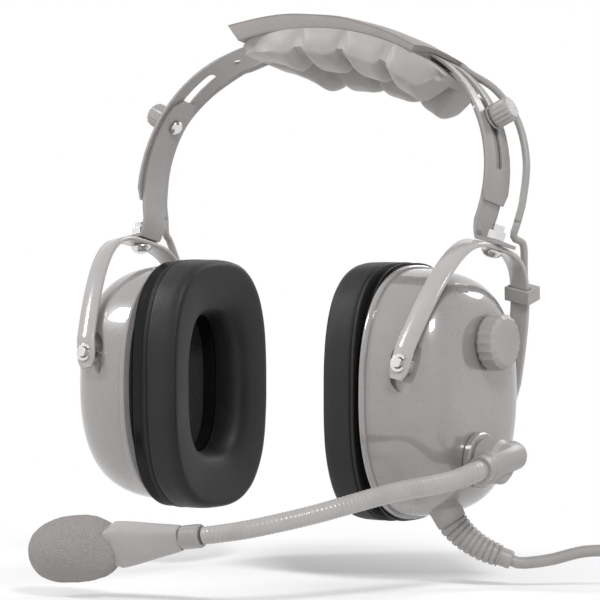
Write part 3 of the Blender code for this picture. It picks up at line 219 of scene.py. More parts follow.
def noise_node(nodes, links, scale, detail=4.0, rough=0.55):
    """Noise over the object's own space, so that it doesn't slide."""
    space = nodes.new("ShaderNodeTexCoord")
    made = nodes.new("ShaderNodeTexNoise")
    put(made, {"Scale": scale, "Detail": detail, "Roughness": rough})
    links.new(space.outputs["Object"], made.inputs["Vector"])
    return made


def cell_node(nodes, links, scale, feature="F1"):
    """Cells over the object's own space: leather's pebbles or foam's pores."""
    space = nodes.new("ShaderNodeTexCoord")
    made = nodes.new("ShaderNodeTexVoronoi")
    made.feature = feature
    put(made, {"Scale": scale})
    links.new(space.outputs["Object"], made.inputs["Vector"])
    return made


def tint(nodes, links, source, shader, colour, darker, lighter, ends=(0.35, 0.65)):
    """Base colour that runs from a darker to a lighter shade over a value."""
    ramp = nodes.new("ShaderNodeValToRGB")
    shades = ([c * (1 - darker) for c in colour], [min(1.0, c * (1 + lighter)) for c in colour])
    for stop, place, shade in zip(ramp.color_ramp.elements, ends, shades):
        stop.position = place
        stop.color = (*shade, 1.0)
    links.new(source, ramp.inputs["Fac"])
    links.new(ramp.outputs["Color"], shader.inputs["Base Color"])


def gloss(nodes, links, source, shader, rough, shares):
    """Roughness that varies round a value."""
    made = nodes.new("ShaderNodeMapRange")
    put(made, {"From Min": NOISE_LOW, "From Max": NOISE_HIGH,
               "To Min": rough * shares[0], "To Max": rough * shares[1]})
    links.new(source, made.inputs["Value"])
    links.new(made.outputs["Result"], shader.inputs["Roughness"])


def bump(nodes, links, source, shader, strength, distance):
    """Bump from a height value."""
    made = nodes.new("ShaderNodeBump")
    put(made, {"Strength": strength, "Distance": distance})
    links.new(source, made.inputs["Height"])
    links.new(made.outputs["Normal"], shader.inputs["Normal"])


def plain_finish(name, colour, mottle, rough, grain_scale, grain, metallic=0.0, coat=0.0,
                 coat_ior=1.5, ior=1.5):
    """A moulded, painted or metal finish: slight mottling, uneven gloss and a fine grain."""
    made, nodes, links, shader = new_material(name)
    broad = noise_node(nodes, links, MOTTLE_SCALE)
    tint(nodes, links, broad.outputs["Fac"], shader, colour, mottle, mottle)
    wear = noise_node(nodes, links, WEAR_SCALE, detail=6.0, rough=0.65)
    gloss(nodes, links, wear.outputs["Fac"], shader, rough, GLOSS_SPREAD)
    fine = noise_node(nodes, links, grain_scale, detail=3.0)
    bump(nodes, links, fine.outputs["Fac"], shader, grain, GRAIN_HEIGHT)
    put(shader, {"Metallic": metallic, "IOR": ior, "Coat Weight": coat, "Coat IOR": coat_ior,
                 "Coat Roughness": COAT_ROUGH})
    return made


def leather_finish(name, colour, mottle, rough, cell, grain, sheen, ior=1.5):
    """Leatherette: pebbled cells, fine pores and a soft sheen."""
    made, nodes, links, shader = new_material(name)
    cells = cell_node(nodes, links, cell, "DISTANCE_TO_EDGE")
    broad = noise_node(nodes, links, LEATHER_MOTTLE, detail=5.0)
    tint(nodes, links, broad.outputs["Fac"], shader, colour, mottle, mottle)
    gloss(nodes, links, broad.outputs["Fac"], shader, rough, LEATHER_GLOSS)
    pores = noise_node(nodes, links, cell * PORE_RATIO)
    height = nodes.new("ShaderNodeMath")
    height.operation = "MULTIPLY_ADD"
    height.inputs[1].default_value = PORE_SHARE
    links.new(pores.outputs["Fac"], height.inputs[0])
    links.new(cells.outputs["Distance"], height.inputs[2])
    bump(nodes, links, height.outputs["Value"], shader, grain, LEATHER_HEIGHT)
    put(shader, {"IOR": ior, "Sheen Weight": sheen, "Sheen Roughness": SHEEN_ROUGH})
    return made


def foam_finish(name, colour, scale, pore_shade):
    """Open foam: painted shade darkens its fine pores, with paler walls between them; dented pores, quite
    rough.
    """
    made, nodes, links, shader = new_material(name)
    pores = cell_node(nodes, links, scale)
    # Colour darker in each pore and paler on the walls: painted shade in the pores
    tint(nodes, links, pores.outputs["Distance"], shader, colour, pore_shade, pore_shade / 3, FOAM_PORE_SHADE)
    bump(nodes, links, pores.outputs["Distance"], shader, FOAM_BUMP, FOAM_HEIGHT)
    put(shader, {"Roughness": FOAM_ROUGH, "Specular IOR Level": FOAM_SHINE})
    return made


def make_materials():
    """Every finish, by the record's slot, or by the piece where it differs from its slot. The stirrups' paint
    is made lighter as painted light, the cover's leather darker as painted shade.
    """
    shell = (0.235, 0.222, 0.216)
    return {
        "greige_gloss": plain_finish("shell_gloss", shell, 0.03, 0.30, 900.0, 0.006, coat=1.0, coat_ior=1.8),
        "greige_satin": plain_finish("moulded_satin", (0.325, 0.310, 0.302), 0.06, 0.38, 1500.0, 0.25),
        "band_steel": plain_finish("band_paint", (0.285, 0.270, 0.262), 0.05, 0.33, 1200.0, 0.12, coat=0.15),
        "arm_steel": plain_finish("arm_paint", (0.285, 0.272, 0.268), 0.05, 0.20, 900.0, 0.07, coat=0.5),
        "dark_leather": leather_finish("seal_leather", (0.012, 0.0115, 0.011), 0.15, 0.50, 1150.0, 0.30, 0.05,
                                       ior=1.36),
        "skirt_gloss": plain_finish("skirt_gloss", (0.008, 0.008, 0.008), 0.1, 0.16, 900.0, 0.06, ior=1.3),
        "pad_leather": leather_finish("pad_leather", (0.345, 0.325, 0.311), 0.08, 0.46, 850.0, 0.35, 0.12),
        "bright_steel": plain_finish("bright_steel", (0.72, 0.71, 0.70), 0.04, 0.20, 2000.0, 0.06,
                                     metallic=1.0),
        # The last figure of each foam: how much darker its pores are painted, as the shade in them
        "grey_foam": foam_finish("grey_foam", (0.29, 0.277, 0.272), 2200.0, 0.3),
        "dark_foam": foam_finish("dark_foam", (0.030, 0.029, 0.028), 1400.0, 0.5),
        "grey_rubber": plain_finish("grey_rubber", (0.32, 0.307, 0.298), 0.05, 0.42, 1400.0, 0.2),
        # The band's cover: the pad's leather made darker, as painted shade against the light from above
        "cover": leather_finish("shaded_cover_leather", (0.230, 0.213, 0.203), 0.08, 0.46, 850.0, 0.35, 0.12),
        # Stirrups: the arms' paint made lighter, as painted light on their lit, glossy faces
        "stirrup": plain_finish("lit_stirrup_paint", (0.38, 0.365, 0.358), 0.05, 0.20, 900.0, 0.07, coat=0.6),
        "boom": plain_finish("boom_sleeve", (0.36, 0.345, 0.337), 0.06, 0.34, 1500.0, 0.2, coat=0.2),
        "plug_metal": plain_finish("plug_metal", (0.74, 0.72, 0.68), 0.05, 0.24, 1800.0, 0.08, metallic=1.0),
    }


FINISH = make_materials()
SLOT_OF = {entry["node"]: entry["material_slot"] for entry in frame["record"]["subparts"]}
BODY_OF = {node: body for body, nodes in frame["record"]["behaviour"]["bodies"].items() for node in nodes}


def add_object(name, data):
    """A new object in the scene."""
    item = bpy.data.objects.new(name, data)
    bpy.context.scene.collection.objects.link(item)
    return item


def smooth_faces(mesh, sharp):
    """Smooth shading, with edges over an angle in degrees left sharp."""
    mesh.shade_smooth()
    mesh.set_sharp_from_angle(angle=math.radians(sharp))


def add_piece(name, mesh, node, sharp=35.0, more=()):
    """A piece that stands for a solid: it rides on the solid's body and takes its finish."""
    item = add_object(name, mesh)
    if item.type == "MESH":
        smooth_faces(mesh, sharp)
    dress(item, node)
    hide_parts(node, *more)
    return item


def dress(item, node):
    """Finish and body of a piece, as its solid has them."""
    slot = SLOT_OF[node]
    item.data.materials.clear()
    item.data.materials.append(FINISH[slot])
    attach(item, BODY_OF[node])


def closed_mesh(name, rings, loop=False):
    """Quads between rings of equal count, capped at both ends unless the rings form a loop."""
    bm = bmesh.new()
    rows = [[bm.verts.new(p) for p in ring] for ring in rings]
    count = len(rows[0])
    pairs = list(zip(rows, rows[1:]))
    if loop:
        pairs.append((rows[-1], rows[0]))
    for low, high in pairs:
        for i in range(count):
            j = (i + 1) % count
            bm.faces.new((low[i], low[j], high[j], high[i]))
    if not loop:
        bm.faces.new(rows[0])
        bm.faces.new(rows[-1])
    bmesh.ops.recalc_face_normals(bm, faces=bm.faces)
    mesh = bpy.data.meshes.new(name)
    bm.to_mesh(mesh)
    bm.free()
    return mesh


# Corners closer than WELD are made one, as are faces that differ by less than FLAT.
# Edges sharper than EDGE, in degrees, are rounded.
WELD = 0.002 * MM
FLAT = math.radians(0.6)
EDGE = 38.0
EDGE_STEPS = 2


def refine(node, width, sharp=EDGE):
    """A solid with its edges rounded and its flat faces whole."""
    bm = bmesh.new()
    bm.from_mesh(frame["nodes"][node].data)
    bmesh.ops.remove_doubles(bm, verts=bm.verts, dist=WELD)
    bmesh.ops.dissolve_limit(bm, angle_limit=FLAT, verts=bm.verts, edges=bm.edges)
    mesh = bpy.data.meshes.new(f"{node}_finished")
    bm.to_mesh(mesh)
    bm.free()
    item = add_piece(f"{node}_finished", mesh, node, sharp)
    if width:
        bevel = item.modifiers.new("rounded edges", "BEVEL")
        bevel.width = width
        bevel.segments = EDGE_STEPS
        bevel.limit_method = "ANGLE"
        bevel.angle_limit = math.radians(sharp)
        bevel.harden_normals = True
    return item


ROUTE_STEPS = 24


def curve_between(a, b, c, d, t):
    """A value on the Catmull-Rom curve from b (t = 0) to c (t = 1)."""
    return 0.5 * (2 * b + (c - a) * t + (2 * a - 5 * b + 4 * c - d) * t * t
                  + (3 * b - a - 3 * c + d) * t ** 3)


def smooth_route(points, step):
    """Evenly spaced points on a Catmull-Rom curve through the given ones."""
    fixed = [Vector(p) for p in points]
    ends = [2 * fixed[0] - fixed[1]] + fixed + [2 * fixed[-1] - fixed[-2]]
    dense = []
    for a, b, c, d in zip(ends, ends[1:], ends[2:], ends[3:]):
        dense += [curve_between(a, b, c, d, k / ROUTE_STEPS) for k in range(ROUTE_STEPS)]
    dense.append(fixed[-1])
    reach = [0.0]
    for p, q in zip(dense, dense[1:]):
        reach.append(reach[-1] + (q - p).length)
    count = max(2, round(reach[-1] / step))
    points, i = [], 0
    for k in range(count + 1):
        wanted = reach[-1] * k / count
        while i < len(reach) - 2 and reach[i + 1] < wanted:
            i += 1
        share = (wanted - reach[i]) / max(reach[i + 1] - reach[i], 1e-12)
        points.append(dense[i].lerp(dense[i + 1], share))
    return points


def round_the_clock(count):
    """Cosine and sine of evenly spaced angles round a circle."""
    angles = [2 * math.pi * k / count for k in range(count)]
    return [(math.cos(angle), math.sin(angle)) for angle in angles]


def pipe_rings(points, radii, sides):
    """Round rings square to a route, without twist."""
    rings = []
    across = (points[1] - points[0]).orthogonal().normalized()
    for i, (point, radius) in enumerate(zip(points, radii)):
        tangent = (points[min(i + 1, len(points) - 1)] - points[max(i - 1, 0)]).normalized()
        across = (across - tangent * across.dot(tangent)).normalized()
        other = tangent.cross(across)
        rings.append([point + radius * (c * across + s * other) for c, s in round_the_clock(sides)])
    return rings


def axis_frame(point, direction):
    """World matrix with local Z along a direction and local Y as far up as it goes."""
    z = Vector(direction).normalized()
    y = (Vector((0, 0, 1)) - z * z.z).normalized()
    turn = Matrix((y.cross(z), y, z)).transposed().to_4x4()
    return Matrix.Translation(Vector(point)) @ turn


def spread(stations, steps):
    """Points on a smooth curve through (a, b) stations, evenly many between each pair."""
    ends = [stations[0]] + list(stations) + [stations[-1]]
    points = []
    for a, b, c, d in zip(ends, ends[1:], ends[2:], ends[3:]):
        for k in range(steps):
            points.append(tuple(curve_between(a[n], b[n], c[n], d[n], k / steps) for n in (0, 1)))
    points.append(tuple(stations[-1]))
    return points


def looking_from(place, back):
    """World matrix of a camera or lamp at a place, with a direction at its back."""
    return Matrix.Translation(place) @ back.to_track_quat("Z", "Y").to_matrix().to_4x4()


def make_camera():
    """The photograph's view of the headset."""
    back = Vector((math.sin(AZIMUTH) * math.cos(ELEVATION), -math.cos(AZIMUTH) * math.cos(ELEVATION),
                   math.sin(ELEVATION)))
    right = Vector((math.cos(AZIMUTH), math.sin(AZIMUTH), 0.0))
    aim = right * AIM_RIGHT + back.cross(right) * AIM_UP
    lens = bpy.data.cameras.new("camera")
    lens.sensor_width = SENSOR
    lens.lens = SENSOR * DISTANCE / FRAME_WIDTH
    item = add_object("camera", lens)
    item.matrix_world = looking_from(aim + back * DISTANCE, back)
    bpy.context.scene.camera = item


def add_lamp(name, place, size, power):
    """A soft square lamp that looks at the part."""
    lamp = bpy.data.lights.new(name, "AREA")
    lamp.size = size
    lamp.energy = power
    item = add_object(name, lamp)
    item.matrix_world = looking_from(Vector(place), Vector(place) - LAMP_TARGET)


def make_stage():
    """Pale floor that fades to white, white surroundings and soft lamps."""
    scene = bpy.context.scene
    scene.view_settings.view_transform = "Standard"
    world = bpy.data.worlds.new("surroundings")
    scene.world = world
    world.use_nodes = True
    nodes, links = world.node_tree.nodes, world.node_tree.links
    plain = nodes["Background"]
    put(plain, {"Color": WHITE, "Strength": WORLD_LIGHT})
    white = nodes.new("ShaderNodeBackground")
    put(white, {"Color": WHITE})
    seen = shown_rays(nodes, links)
    mix = nodes.new("ShaderNodeMixShader")
    links.new(seen, mix.inputs["Fac"])
    links.new(plain.outputs["Background"], mix.inputs[1])
    links.new(white.outputs["Background"], mix.inputs[2])
    links.new(mix.outputs["Shader"], nodes["World Output"].inputs["Surface"])

    bpy.ops.mesh.primitive_circle_add(vertices=FLOOR_SIDES, radius=FLOOR_RADIUS, fill_type="NGON",
                                      location=(0, 0, FLOOR_LEVEL))
    floor = bpy.context.object
    floor.name = "floor"
    floor.data.materials.append(floor_finish())
    for lamp in LAMPS:
        add_lamp(*lamp)


def shown_rays(nodes, links):
    """1 for camera, glossy and transmission rays."""
    path = nodes.new("ShaderNodeLightPath")
    total = path.outputs["Is Camera Ray"]
    for kind in ("Is Glossy Ray", "Is Transmission Ray"):
        most = nodes.new("ShaderNodeMath")
        most.operation = "MAXIMUM"
        links.new(total, most.inputs[0])
        links.new(path.outputs[kind], most.inputs[1])
        total = most.outputs["Value"]
    return total


def floor_finish():
    """White floor that takes the shadow close to the object and fades to plain white further out."""
    made, nodes, links, shader = new_material("floor_white")
    put(shader, {"Base Color": FLOOR_COLOUR, "Roughness": FLOOR_ROUGH, "Specular IOR Level": 0.0})
    space = nodes.new("ShaderNodeTexCoord")
    reach = nodes.new("ShaderNodeVectorMath")
    reach.operation = "LENGTH"
    links.new(space.outputs["Object"], reach.inputs[0])
    fade = nodes.new("ShaderNodeMapRange")
    fade.interpolation_type = "SMOOTHSTEP"
    put(fade, {"From Min": FADE_FROM, "From Max": FADE_TO})
    links.new(reach.outputs["Value"], fade.inputs["Value"])
    share = nodes.new("ShaderNodeMath")
    share.operation = "MULTIPLY"
    links.new(fade.outputs["Result"], share.inputs[0])
    links.new(shown_rays(nodes, links), share.inputs[1])
    white = nodes.new("ShaderNodeEmission")
    mix = nodes.new("ShaderNodeMixShader")
    links.new(share.outputs["Value"], mix.inputs["Fac"])
    links.new(shader.outputs["BSDF"], mix.inputs[1])
    links.new(white.outputs["Emission"], mix.inputs[2])
    links.new(mix.outputs["Shader"], nodes["Material Output"].inputs["Surface"])
    return made


CORD_ROUNDNESS = 5


def curve_piece(name, points, diameter):
    """A round curve of one open spline."""
    curve = bpy.data.curves.new(name, "CURVE")
    curve.dimensions = "3D"
    curve.bevel_depth = diameter / 2
    curve.bevel_resolution = CORD_ROUNDNESS
    curve.use_fill_caps = True
    spline = curve.splines.new("POLY")
    spline.points.add(len(points) - 1)
    for knot, point in zip(spline.points, points):
        knot.co = (*point, 1.0)
    spline.use_smooth = True
    return curve


# Route of the cord, in millimetres: the strain relief, then the free length to the coil.
# The cord begins inside the strain relief.
CORD_INSIDE = 0.5 * MM
CORD_STEP = 3.0 * MM
TAIL_STEP = 2.0 * MM
BOOT_ROUTE_STEP = 1.0 * MM
BOOT_POINTS = ((77.5, -6.0, -46.0), (82.5, -3.6, -55.5), (91.0, 0.8, -63.2), (102.0, 7.0, -68.4))
CORD_POINTS = ((108.0, 10.4, -69.2), (116.0, 15.0, -67.8), (128.0, 22.0, -64.4), (141.0, 29.3, -64.9),
               (155.5, 37.8, -70.4))
COIL_START = Vector((182.0, 53.0, 0.0)) * MM
COIL_TANGENT = Vector((0.87, 0.49, 0.0)).normalized()
COIL_INWARD = Vector((COIL_TANGENT.y, -COIL_TANGENT.x, 0.0))
COIL_ANGLE = math.atan2(-COIL_INWARD.y, -COIL_INWARD.x)
COIL_TURNS = 6 + COIL_ANGLE / (2 * math.pi)
COIL_AHEAD = Vector((0.0, -1.0, 0.0))
COIL_ASIDE = Vector((1.0, 0.0, 0.0))
COIL_OUTER = 35.5 * MM
COIL_STEP = 5.3 * MM
COIL_FACETS = 48
COIL_CLIMB = 0.5
COIL_LEVEL = FLOOR_LEVEL + 3.5 * MM
COIL_CENTRE = COIL_START + COIL_INWARD * COIL_OUTER
COIL_END = COIL_CENTRE + COIL_ASIDE * COIL_OUTER
# Past the coil: millimetres ahead, and share of the coil's height left there
COIL_EXIT = ((10.0, 1.0), (18.0, 0.72), (27.0, 0.33), (38.0, 0.06))
# Splitter and tails, in millimetres: ahead of the splitter's end, aside, and above the floor
SPLIT_HEIGHT = 4.0
SPLIT_LEVEL = FLOOR_LEVEL + SPLIT_HEIGHT * MM
SPLIT_LONG = 24.6 * MM       # with the fit at both its ends
TAIL_ASIDE = 3.0
TAIL_STRAIGHT = 4.0
PHONE_TAIL = ((14.0, 4.2, 2.6), (26.0, 8.5, 1.9), (34.0, 18.0, 1.9), (34.5, 29.0, 1.9), (27.0, 38.0, 1.9),
              (15.0, 41.2, 2.8), (3.0, 41.5, 5.4), (-8.0, 41.5, 6.0))
MIC_TAIL = ((16.0, -3.4, 2.6), (32.0, 0.0, 1.9), (45.0, 10.0, 1.9), (50.0, 24.5, 1.9), (46.0, 39.5, 1.9),
            (35.0, 50.5, 1.9), (20.0, 56.5, 2.8), (6.0, 58.8, 5.4), (-4.0, 59.2, 6.0))


def coil_points():
    """Turns that spiral in on the floor, climb a layer and spiral out again, with straight ends."""
    points = []
    count = round(COIL_TURNS * COIL_FACETS)
    for k in range(count + 1):
        turn = COIL_TURNS * k / count
        angle = COIL_ANGLE - 2 * math.pi * turn
        radius = COIL_OUTER - COIL_STEP * min(turn, COIL_TURNS - turn)
        climb = min(max((turn - COIL_TURNS / 2) / COIL_CLIMB + 0.5, 0.0), 1.0)
        climb = climb * climb * (3 - 2 * climb)
        points.append(Vector((COIL_CENTRE.x + radius * math.cos(angle),
                              COIL_CENTRE.y + radius * math.sin(angle), COIL_LEVEL + COIL_STEP * climb)))
    first = points[0] - COIL_TANGENT * CORD_DIAMETER
    tail = []
    for run, share in COIL_EXIT:
        spot = COIL_END + COIL_AHEAD * run * MM
        tail.append(Vector((spot.x, spot.y, SPLIT_LEVEL + (points[-1].z - SPLIT_LEVEL) * share)))
    last = COIL_END + COIL_AHEAD * (COIL_EXIT[-1][0] * MM + CORD_DIAMETER)
    tail.append(Vector((last.x, last.y, SPLIT_LEVEL)))
    return first, points, tail


def on_floor(ahead, aside, height):
    """A place past the splitter, from its end."""
    origin = COIL_END + COIL_AHEAD * (COIL_EXIT[-1][0] * MM + CORD_DIAMETER + SPLIT_LONG)
    spot = origin + COIL_AHEAD * ahead * MM + COIL_ASIDE * aside * MM
    return Vector((spot.x, spot.y, FLOOR_LEVEL + height * MM))


def make_cords():
    """The cord from its boot through the coil to the splitter, and the two tails with their plugs."""
    boot = smooth_route([Vector(p) * MM for p in BOOT_POINTS], BOOT_ROUTE_STEP)
    out = (boot[-1] - boot[-4]).normalized()
    first, turns, tail = coil_points()
    free = [boot[-1] - out * CORD_INSIDE, boot[-1] + out * CORD_DIAMETER / 2]
    free += [Vector(p) * MM for p in CORD_POINTS] + [first - COIL_TANGENT * 2 * CORD_DIAMETER, first]
    lead = smooth_route(free, CORD_STEP)
    end = smooth_route([turns[-1]] + tail, CORD_STEP)[1:]
    points = lead + turns + end
    splitter = refine("cord_splitter", 0.5 * MM)
    tie = refine("cord_tie", 0.3 * MM)
    cord = add_piece("cord", curve_piece("cord", points, CORD_DIAMETER), "cord_lead", more=("cord_coil",))
    for word, route, aside in (("headphone", PHONE_TAIL, TAIL_ASIDE), ("mic", MIC_TAIL, -TAIL_ASIDE)):
        path = [on_floor(0.0, aside, SPLIT_HEIGHT), on_floor(TAIL_STRAIGHT, aside, SPLIT_HEIGHT)]
        path += [on_floor(*p) for p in route]
        points = smooth_route(path, TAIL_STEP)
        plug = refine(f"{word}_plug", 0.2 * MM, 30.0)
        item = add_piece(f"{word}_cord", curve_piece(f"{word}_cord", points, TAIL_DIAMETER), f"{word}_tail")


def oval(half_width, half_height, square):
    """Points (y, z) round a squared oval."""
    return [(half_width * math.copysign(abs(c) ** (2 / square), c),
             half_height * math.copysign(abs(s) ** (2 / square), s)) for c, s in round_the_clock(OVAL_POINTS)]


def cup_ring(side, depth, half_width, half_height, square=CUP_SQUARE):
    """One oval ring at a depth outboard of the cup's rim."""
    return [Vector((side * (CUP_GAP + depth), y, CUP_Z + z))
            for y, z in oval(half_width, half_height, square)]


# Share of the cup's depth, and share of its width and height there
DOME = ((0.0, 1.0), (0.35, 0.98), (0.6, 0.94), (0.78, 0.88), (0.9, 0.80), (0.97, 0.71), (1.0, 0.60))
DOME_STEPS = 5
DOME_MIDDLE = 0.4
# Share of the rim's thickness, and share of how far it stands proud there
RIM_SECTION = ((1.0, 0.55), (0.9, 0.86), (0.7, 1.0), (0.25, 1.0), (0.05, 0.85), (0.0, 0.6))
# Rounded slot round each pivot: half its width, its straight length below and above the pin, and its depth
SLOT_HALF = 6.5 * MM
SLOT_BELOW = 4.5 * MM
SLOT_ABOVE = 3.0 * MM
SLOT_DEPTH = 2.9 * MM
SLOT_STEPS = 20
CUP_SHARP = 30.0
CUP_HALF = (CUP_WIDTH / 2, CUP_HEIGHT / 2)


def dome_rings(side):
    """The shell's outside, from its rim to its face."""
    return [cup_ring(side, RIM_THICK + (CUP_DEPTH - RIM_THICK) * along, *(half * share for half in CUP_HALF))
            for along, share in spread(DOME, DOME_STEPS)]


def cup_place(name, end):
    """Frame at the pivots' middle, local Z towards the front (-1) or rear (1) pin."""
    pin = "front" if end < 0 else "rear"
    low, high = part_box(f"{name}_{pin}_pin")
    other_low, other_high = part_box(f"{name}_{'rear' if end < 0 else 'front'}_pin")
    here, there = (low + high) / 2, (other_low + other_high) / 2
    return axis_frame((here + there) / 2, here - there)


def cut(item, mesh):
    """Cut a piece with a solid, and keep the result as its mesh."""
    cutter = add_object("cutter", mesh)
    modifier = item.modifiers.new("cut", "BOOLEAN")
    modifier.solver = "EXACT"
    modifier.object = cutter
    bake(item)
    bpy.data.objects.remove(cutter, do_unlink=True)


def bake(item):
    """Keep what a piece's modifiers make as its own mesh."""
    graph = bpy.context.evaluated_depsgraph_get()
    mesh = bpy.data.meshes.new_from_object(item.evaluated_get(graph))
    item.modifiers.clear()
    old, item.data = item.data, mesh
    bpy.data.meshes.remove(old)


def ear_cup(side, name):
    """Deep glossy shell with a rolled rim and a rounded slot round each pivot."""
    rings = [cup_ring(side, CUP_DEPTH, *(half * DOME_MIDDLE for half in CUP_HALF))]
    rings += reversed(dome_rings(side))
    for depth, proud in RIM_SECTION:
        rings.append(cup_ring(side, RIM_THICK * depth, *(half + RIM_PROUD * proud for half in CUP_HALF)))
    for along, share in DOME:
        rings.append(cup_ring(side, (CUP_DEPTH - CUP_WALL) * along,
                              *((half - CUP_WALL) * share for half in CUP_HALF)))
    item = add_object(f"{name}_cup_shell", closed_mesh(f"{name}_cup_shell", rings))
    for end in (-1, 1):
        place = cup_place(name, end)
        turns = [math.pi * k / SLOT_STEPS for k in range(SLOT_STEPS + 1)]
        outline = [(SLOT_HALF * math.cos(a), -SLOT_BELOW - SLOT_HALF * math.sin(a)) for a in turns]
        outline += [(-SLOT_HALF * math.cos(a), SLOT_ABOVE + SLOT_HALF * math.sin(a)) for a in turns]
        cut(item, closed_mesh("slot", [[place @ Vector((x, y, z)) for x, y in outline]
                                       for z in (CUP_WIDTH / 2 - SLOT_DEPTH, CUP_WIDTH)]))
    smooth_faces(item.data, CUP_SHARP)
    dress(item, f"{name}_ear_cup")
    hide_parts(f"{name}_ear_cup")


# Cushion section: share from the well outward, and share of the thickness towards the head.
# It is fuller outside and more dished than the solid's.
SEAL_SECTION = ((0.08, 0.0), (0.92, 0.0), (0.99, 0.08), (0.985, 0.13), (1.0, 0.2), (1.0, 0.5),
                (0.99, 0.78), (0.955, 0.93), (0.88, 1.0), (0.72, 0.99), (0.48, 0.94), (0.26, 0.86),
                (0.10, 0.72), (0.02, 0.5), (0.0, 0.25), (0.02, 0.1))
SEAM_RISE = 0.13
SEAM_HALF = 0.02
SEAM_DEPTH = 0.55 * MM
SEAM_OUTWARD = 0.8
SEAL_STEPS = 6
# Unevenness of the skin above its backing: size and scale of each noise
SEAL_BACK = 0.05
SEAL_CREASES = ((0.28 * MM, 70.0), (0.10 * MM, 240.0))
SEAL_THICK = 16.0 * MM
SEAL_HALF = (34.5 * MM, 52.5 * MM)
WELL_HALF = (16.0 * MM, 29.0 * MM)
SKIRT_THICK = 5.0 * MM
SKIRT_LOW = -FIT - SKIRT_THICK
# Skirt's outside: depth, and millimetres past the cushion's outline
SKIRT_SECTION = ((SKIRT_LOW, -3.0), (SKIRT_LOW + 0.6 * MM, -2.2), (SKIRT_LOW + 2.2 * MM, -1.5),
                 (-FIT - 0.8 * MM, -0.3), (-FIT, -0.1))
SKIRT_STEPS = 5


def crease(point, size, scale):
    """Soft unevenness of a skin over foam, -size to size."""
    return size * noise.noise(point * scale, noise_basis="PERLIN_ORIGINAL")


def creases(point, noises):
    """Several kinds of unevenness together."""
    return sum(crease(point, size, scale) for size, scale in noises)


def seal(side, name):
    """Leatherette cushion with its seam, on a glossy skirt."""
    section = spread(SEAL_SECTION + (SEAL_SECTION[0],), SEAL_STEPS)[:-1]
    rings = []
    for outward, rise in section:
        size = [w + (h - w) * outward for w, h in zip(WELL_HALF, SEAL_HALF)]
        rings.append(cup_ring(side, SKIRT_LOW - FIT - SEAL_THICK * rise, *size, SEAL_SQUARE))
    centre = Vector((0, 0, CUP_Z))
    for ring, (outward, rise) in zip(rings, section):
        seam = math.exp(-((rise - SEAM_RISE) / SEAM_HALF) ** 2) if outward > SEAM_OUTWARD else 0.0
        for i, point in enumerate(ring):
            inward = Vector((0.0, centre.y - point.y, centre.z - point.z)).normalized()
            move = SEAM_DEPTH * seam
            if rise > SEAL_BACK:
                move += creases(point, SEAL_CREASES)
            ring[i] = point + inward * move
    mesh = closed_mesh(f"{name}_seal", rings, loop=True)
    item = add_piece(f"{name}_seal", mesh, f"{name}_seal_cushion", sharp=80.0)

    rings = [cup_ring(side, SKIRT_LOW, *WELL_HALF, SEAL_SQUARE)]
    rings += [cup_ring(side, depth, *(half + grow * MM for half in SEAL_HALF), SEAL_SQUARE)
              for depth, grow in spread(SKIRT_SECTION, SKIRT_STEPS)]
    rings.append(cup_ring(side, -FIT, *WELL_HALF, SEAL_SQUARE))
    mesh = closed_mesh(f"{name}_skirt", rings, loop=True)
    add_piece(f"{name}_skirt", mesh, f"{name}_seal_plate", sharp=40.0)


def band_point(x):
    """Place and normal of the band's middle surface, in its own plane, at a distance from its middle."""
    side = math.copysign(1.0, x)
    if abs(x) < BAND_TOP_RADIUS * math.sin(BAND_TOP_SWEEP):
        angle = math.acos(abs(x) / BAND_TOP_RADIUS)
        z = BAND_TOP - BAND_TOP_RADIUS * (1 - math.sin(angle))
    else:
        angle = math.acos((abs(x) - SIDE_CENTRE[0]) / SIDE_RADIUS)
        z = SIDE_CENTRE[1] + SIDE_RADIUS * math.sin(angle)
    return x, z, side * math.cos(angle), math.sin(angle)


def beside_band(point, y, out):
    """World place across the band by y and off its middle surface by out."""
    x, z, nx, nz = point
    return LEAN @ Vector((x + nx * out, y, z + nz * out))


def pillow(place):
    """Height along one stuffed cushion: 0 in the seams at its ends, 1 over most of it."""
    away = abs(2 * place - 1) / (1 - PAD_GROOVE)
    return max(0.0, 1.0 - away ** PILLOW_POWER)


def swell_along(share):
    """Height along the pad: cushions between seams, and a long slope at the wearer's right end."""
    slope = min(1.0, share / PAD_SLANT)
    index = min(bisect.bisect_right(PAD_SEAMS, share), len(PAD_SEAMS) - 1)
    a, b = PAD_SEAMS[index - 1], PAD_SEAMS[index]
    place = (share - a) / (b - a)
    if index == 1 and place < 0.5:
        return slope
    if index == len(PAD_SEAMS) - 1 and place > 0.5:
        return slope * pillow(place)
    return slope * (PAD_SEAM + (1.0 - PAD_SEAM) * pillow(place))


def swell_across(share):
    """Height across the pad: tall outer faces, and a seam between the two rows."""
    inward = 1 - abs(2 * share - 1)
    rise = 1 - (1 - PAD_SIDE) * max(0.0, 1 - 2 * inward) ** 2
    return rise * max(0.0, 1 - (inward / (1 - PAD_GROOVE)) ** (2 * PILLOW_POWER))


# Mesh of the pad: steps across, down a side wall and along one cushion
PAD_ROWS = 72
PAD_SIDE_ROWS = 8
PAD_POINTS = 44
# Narrowing towards the ends, and swelling of the side walls over a cushion and in a seam
PAD_NARROW = 0.3
PAD_NARROW_POWER = 6
WALL_SWELL = 3.1 * MM
WALL_DRAWN = 2.2 * MM
# Unevenness on the cushions, and wrinkles beside their seams: size and scale
PAD_CREASE = (0.5 * MM, 60.0)
PAD_WRINKLE = (0.45 * MM, 190.0)


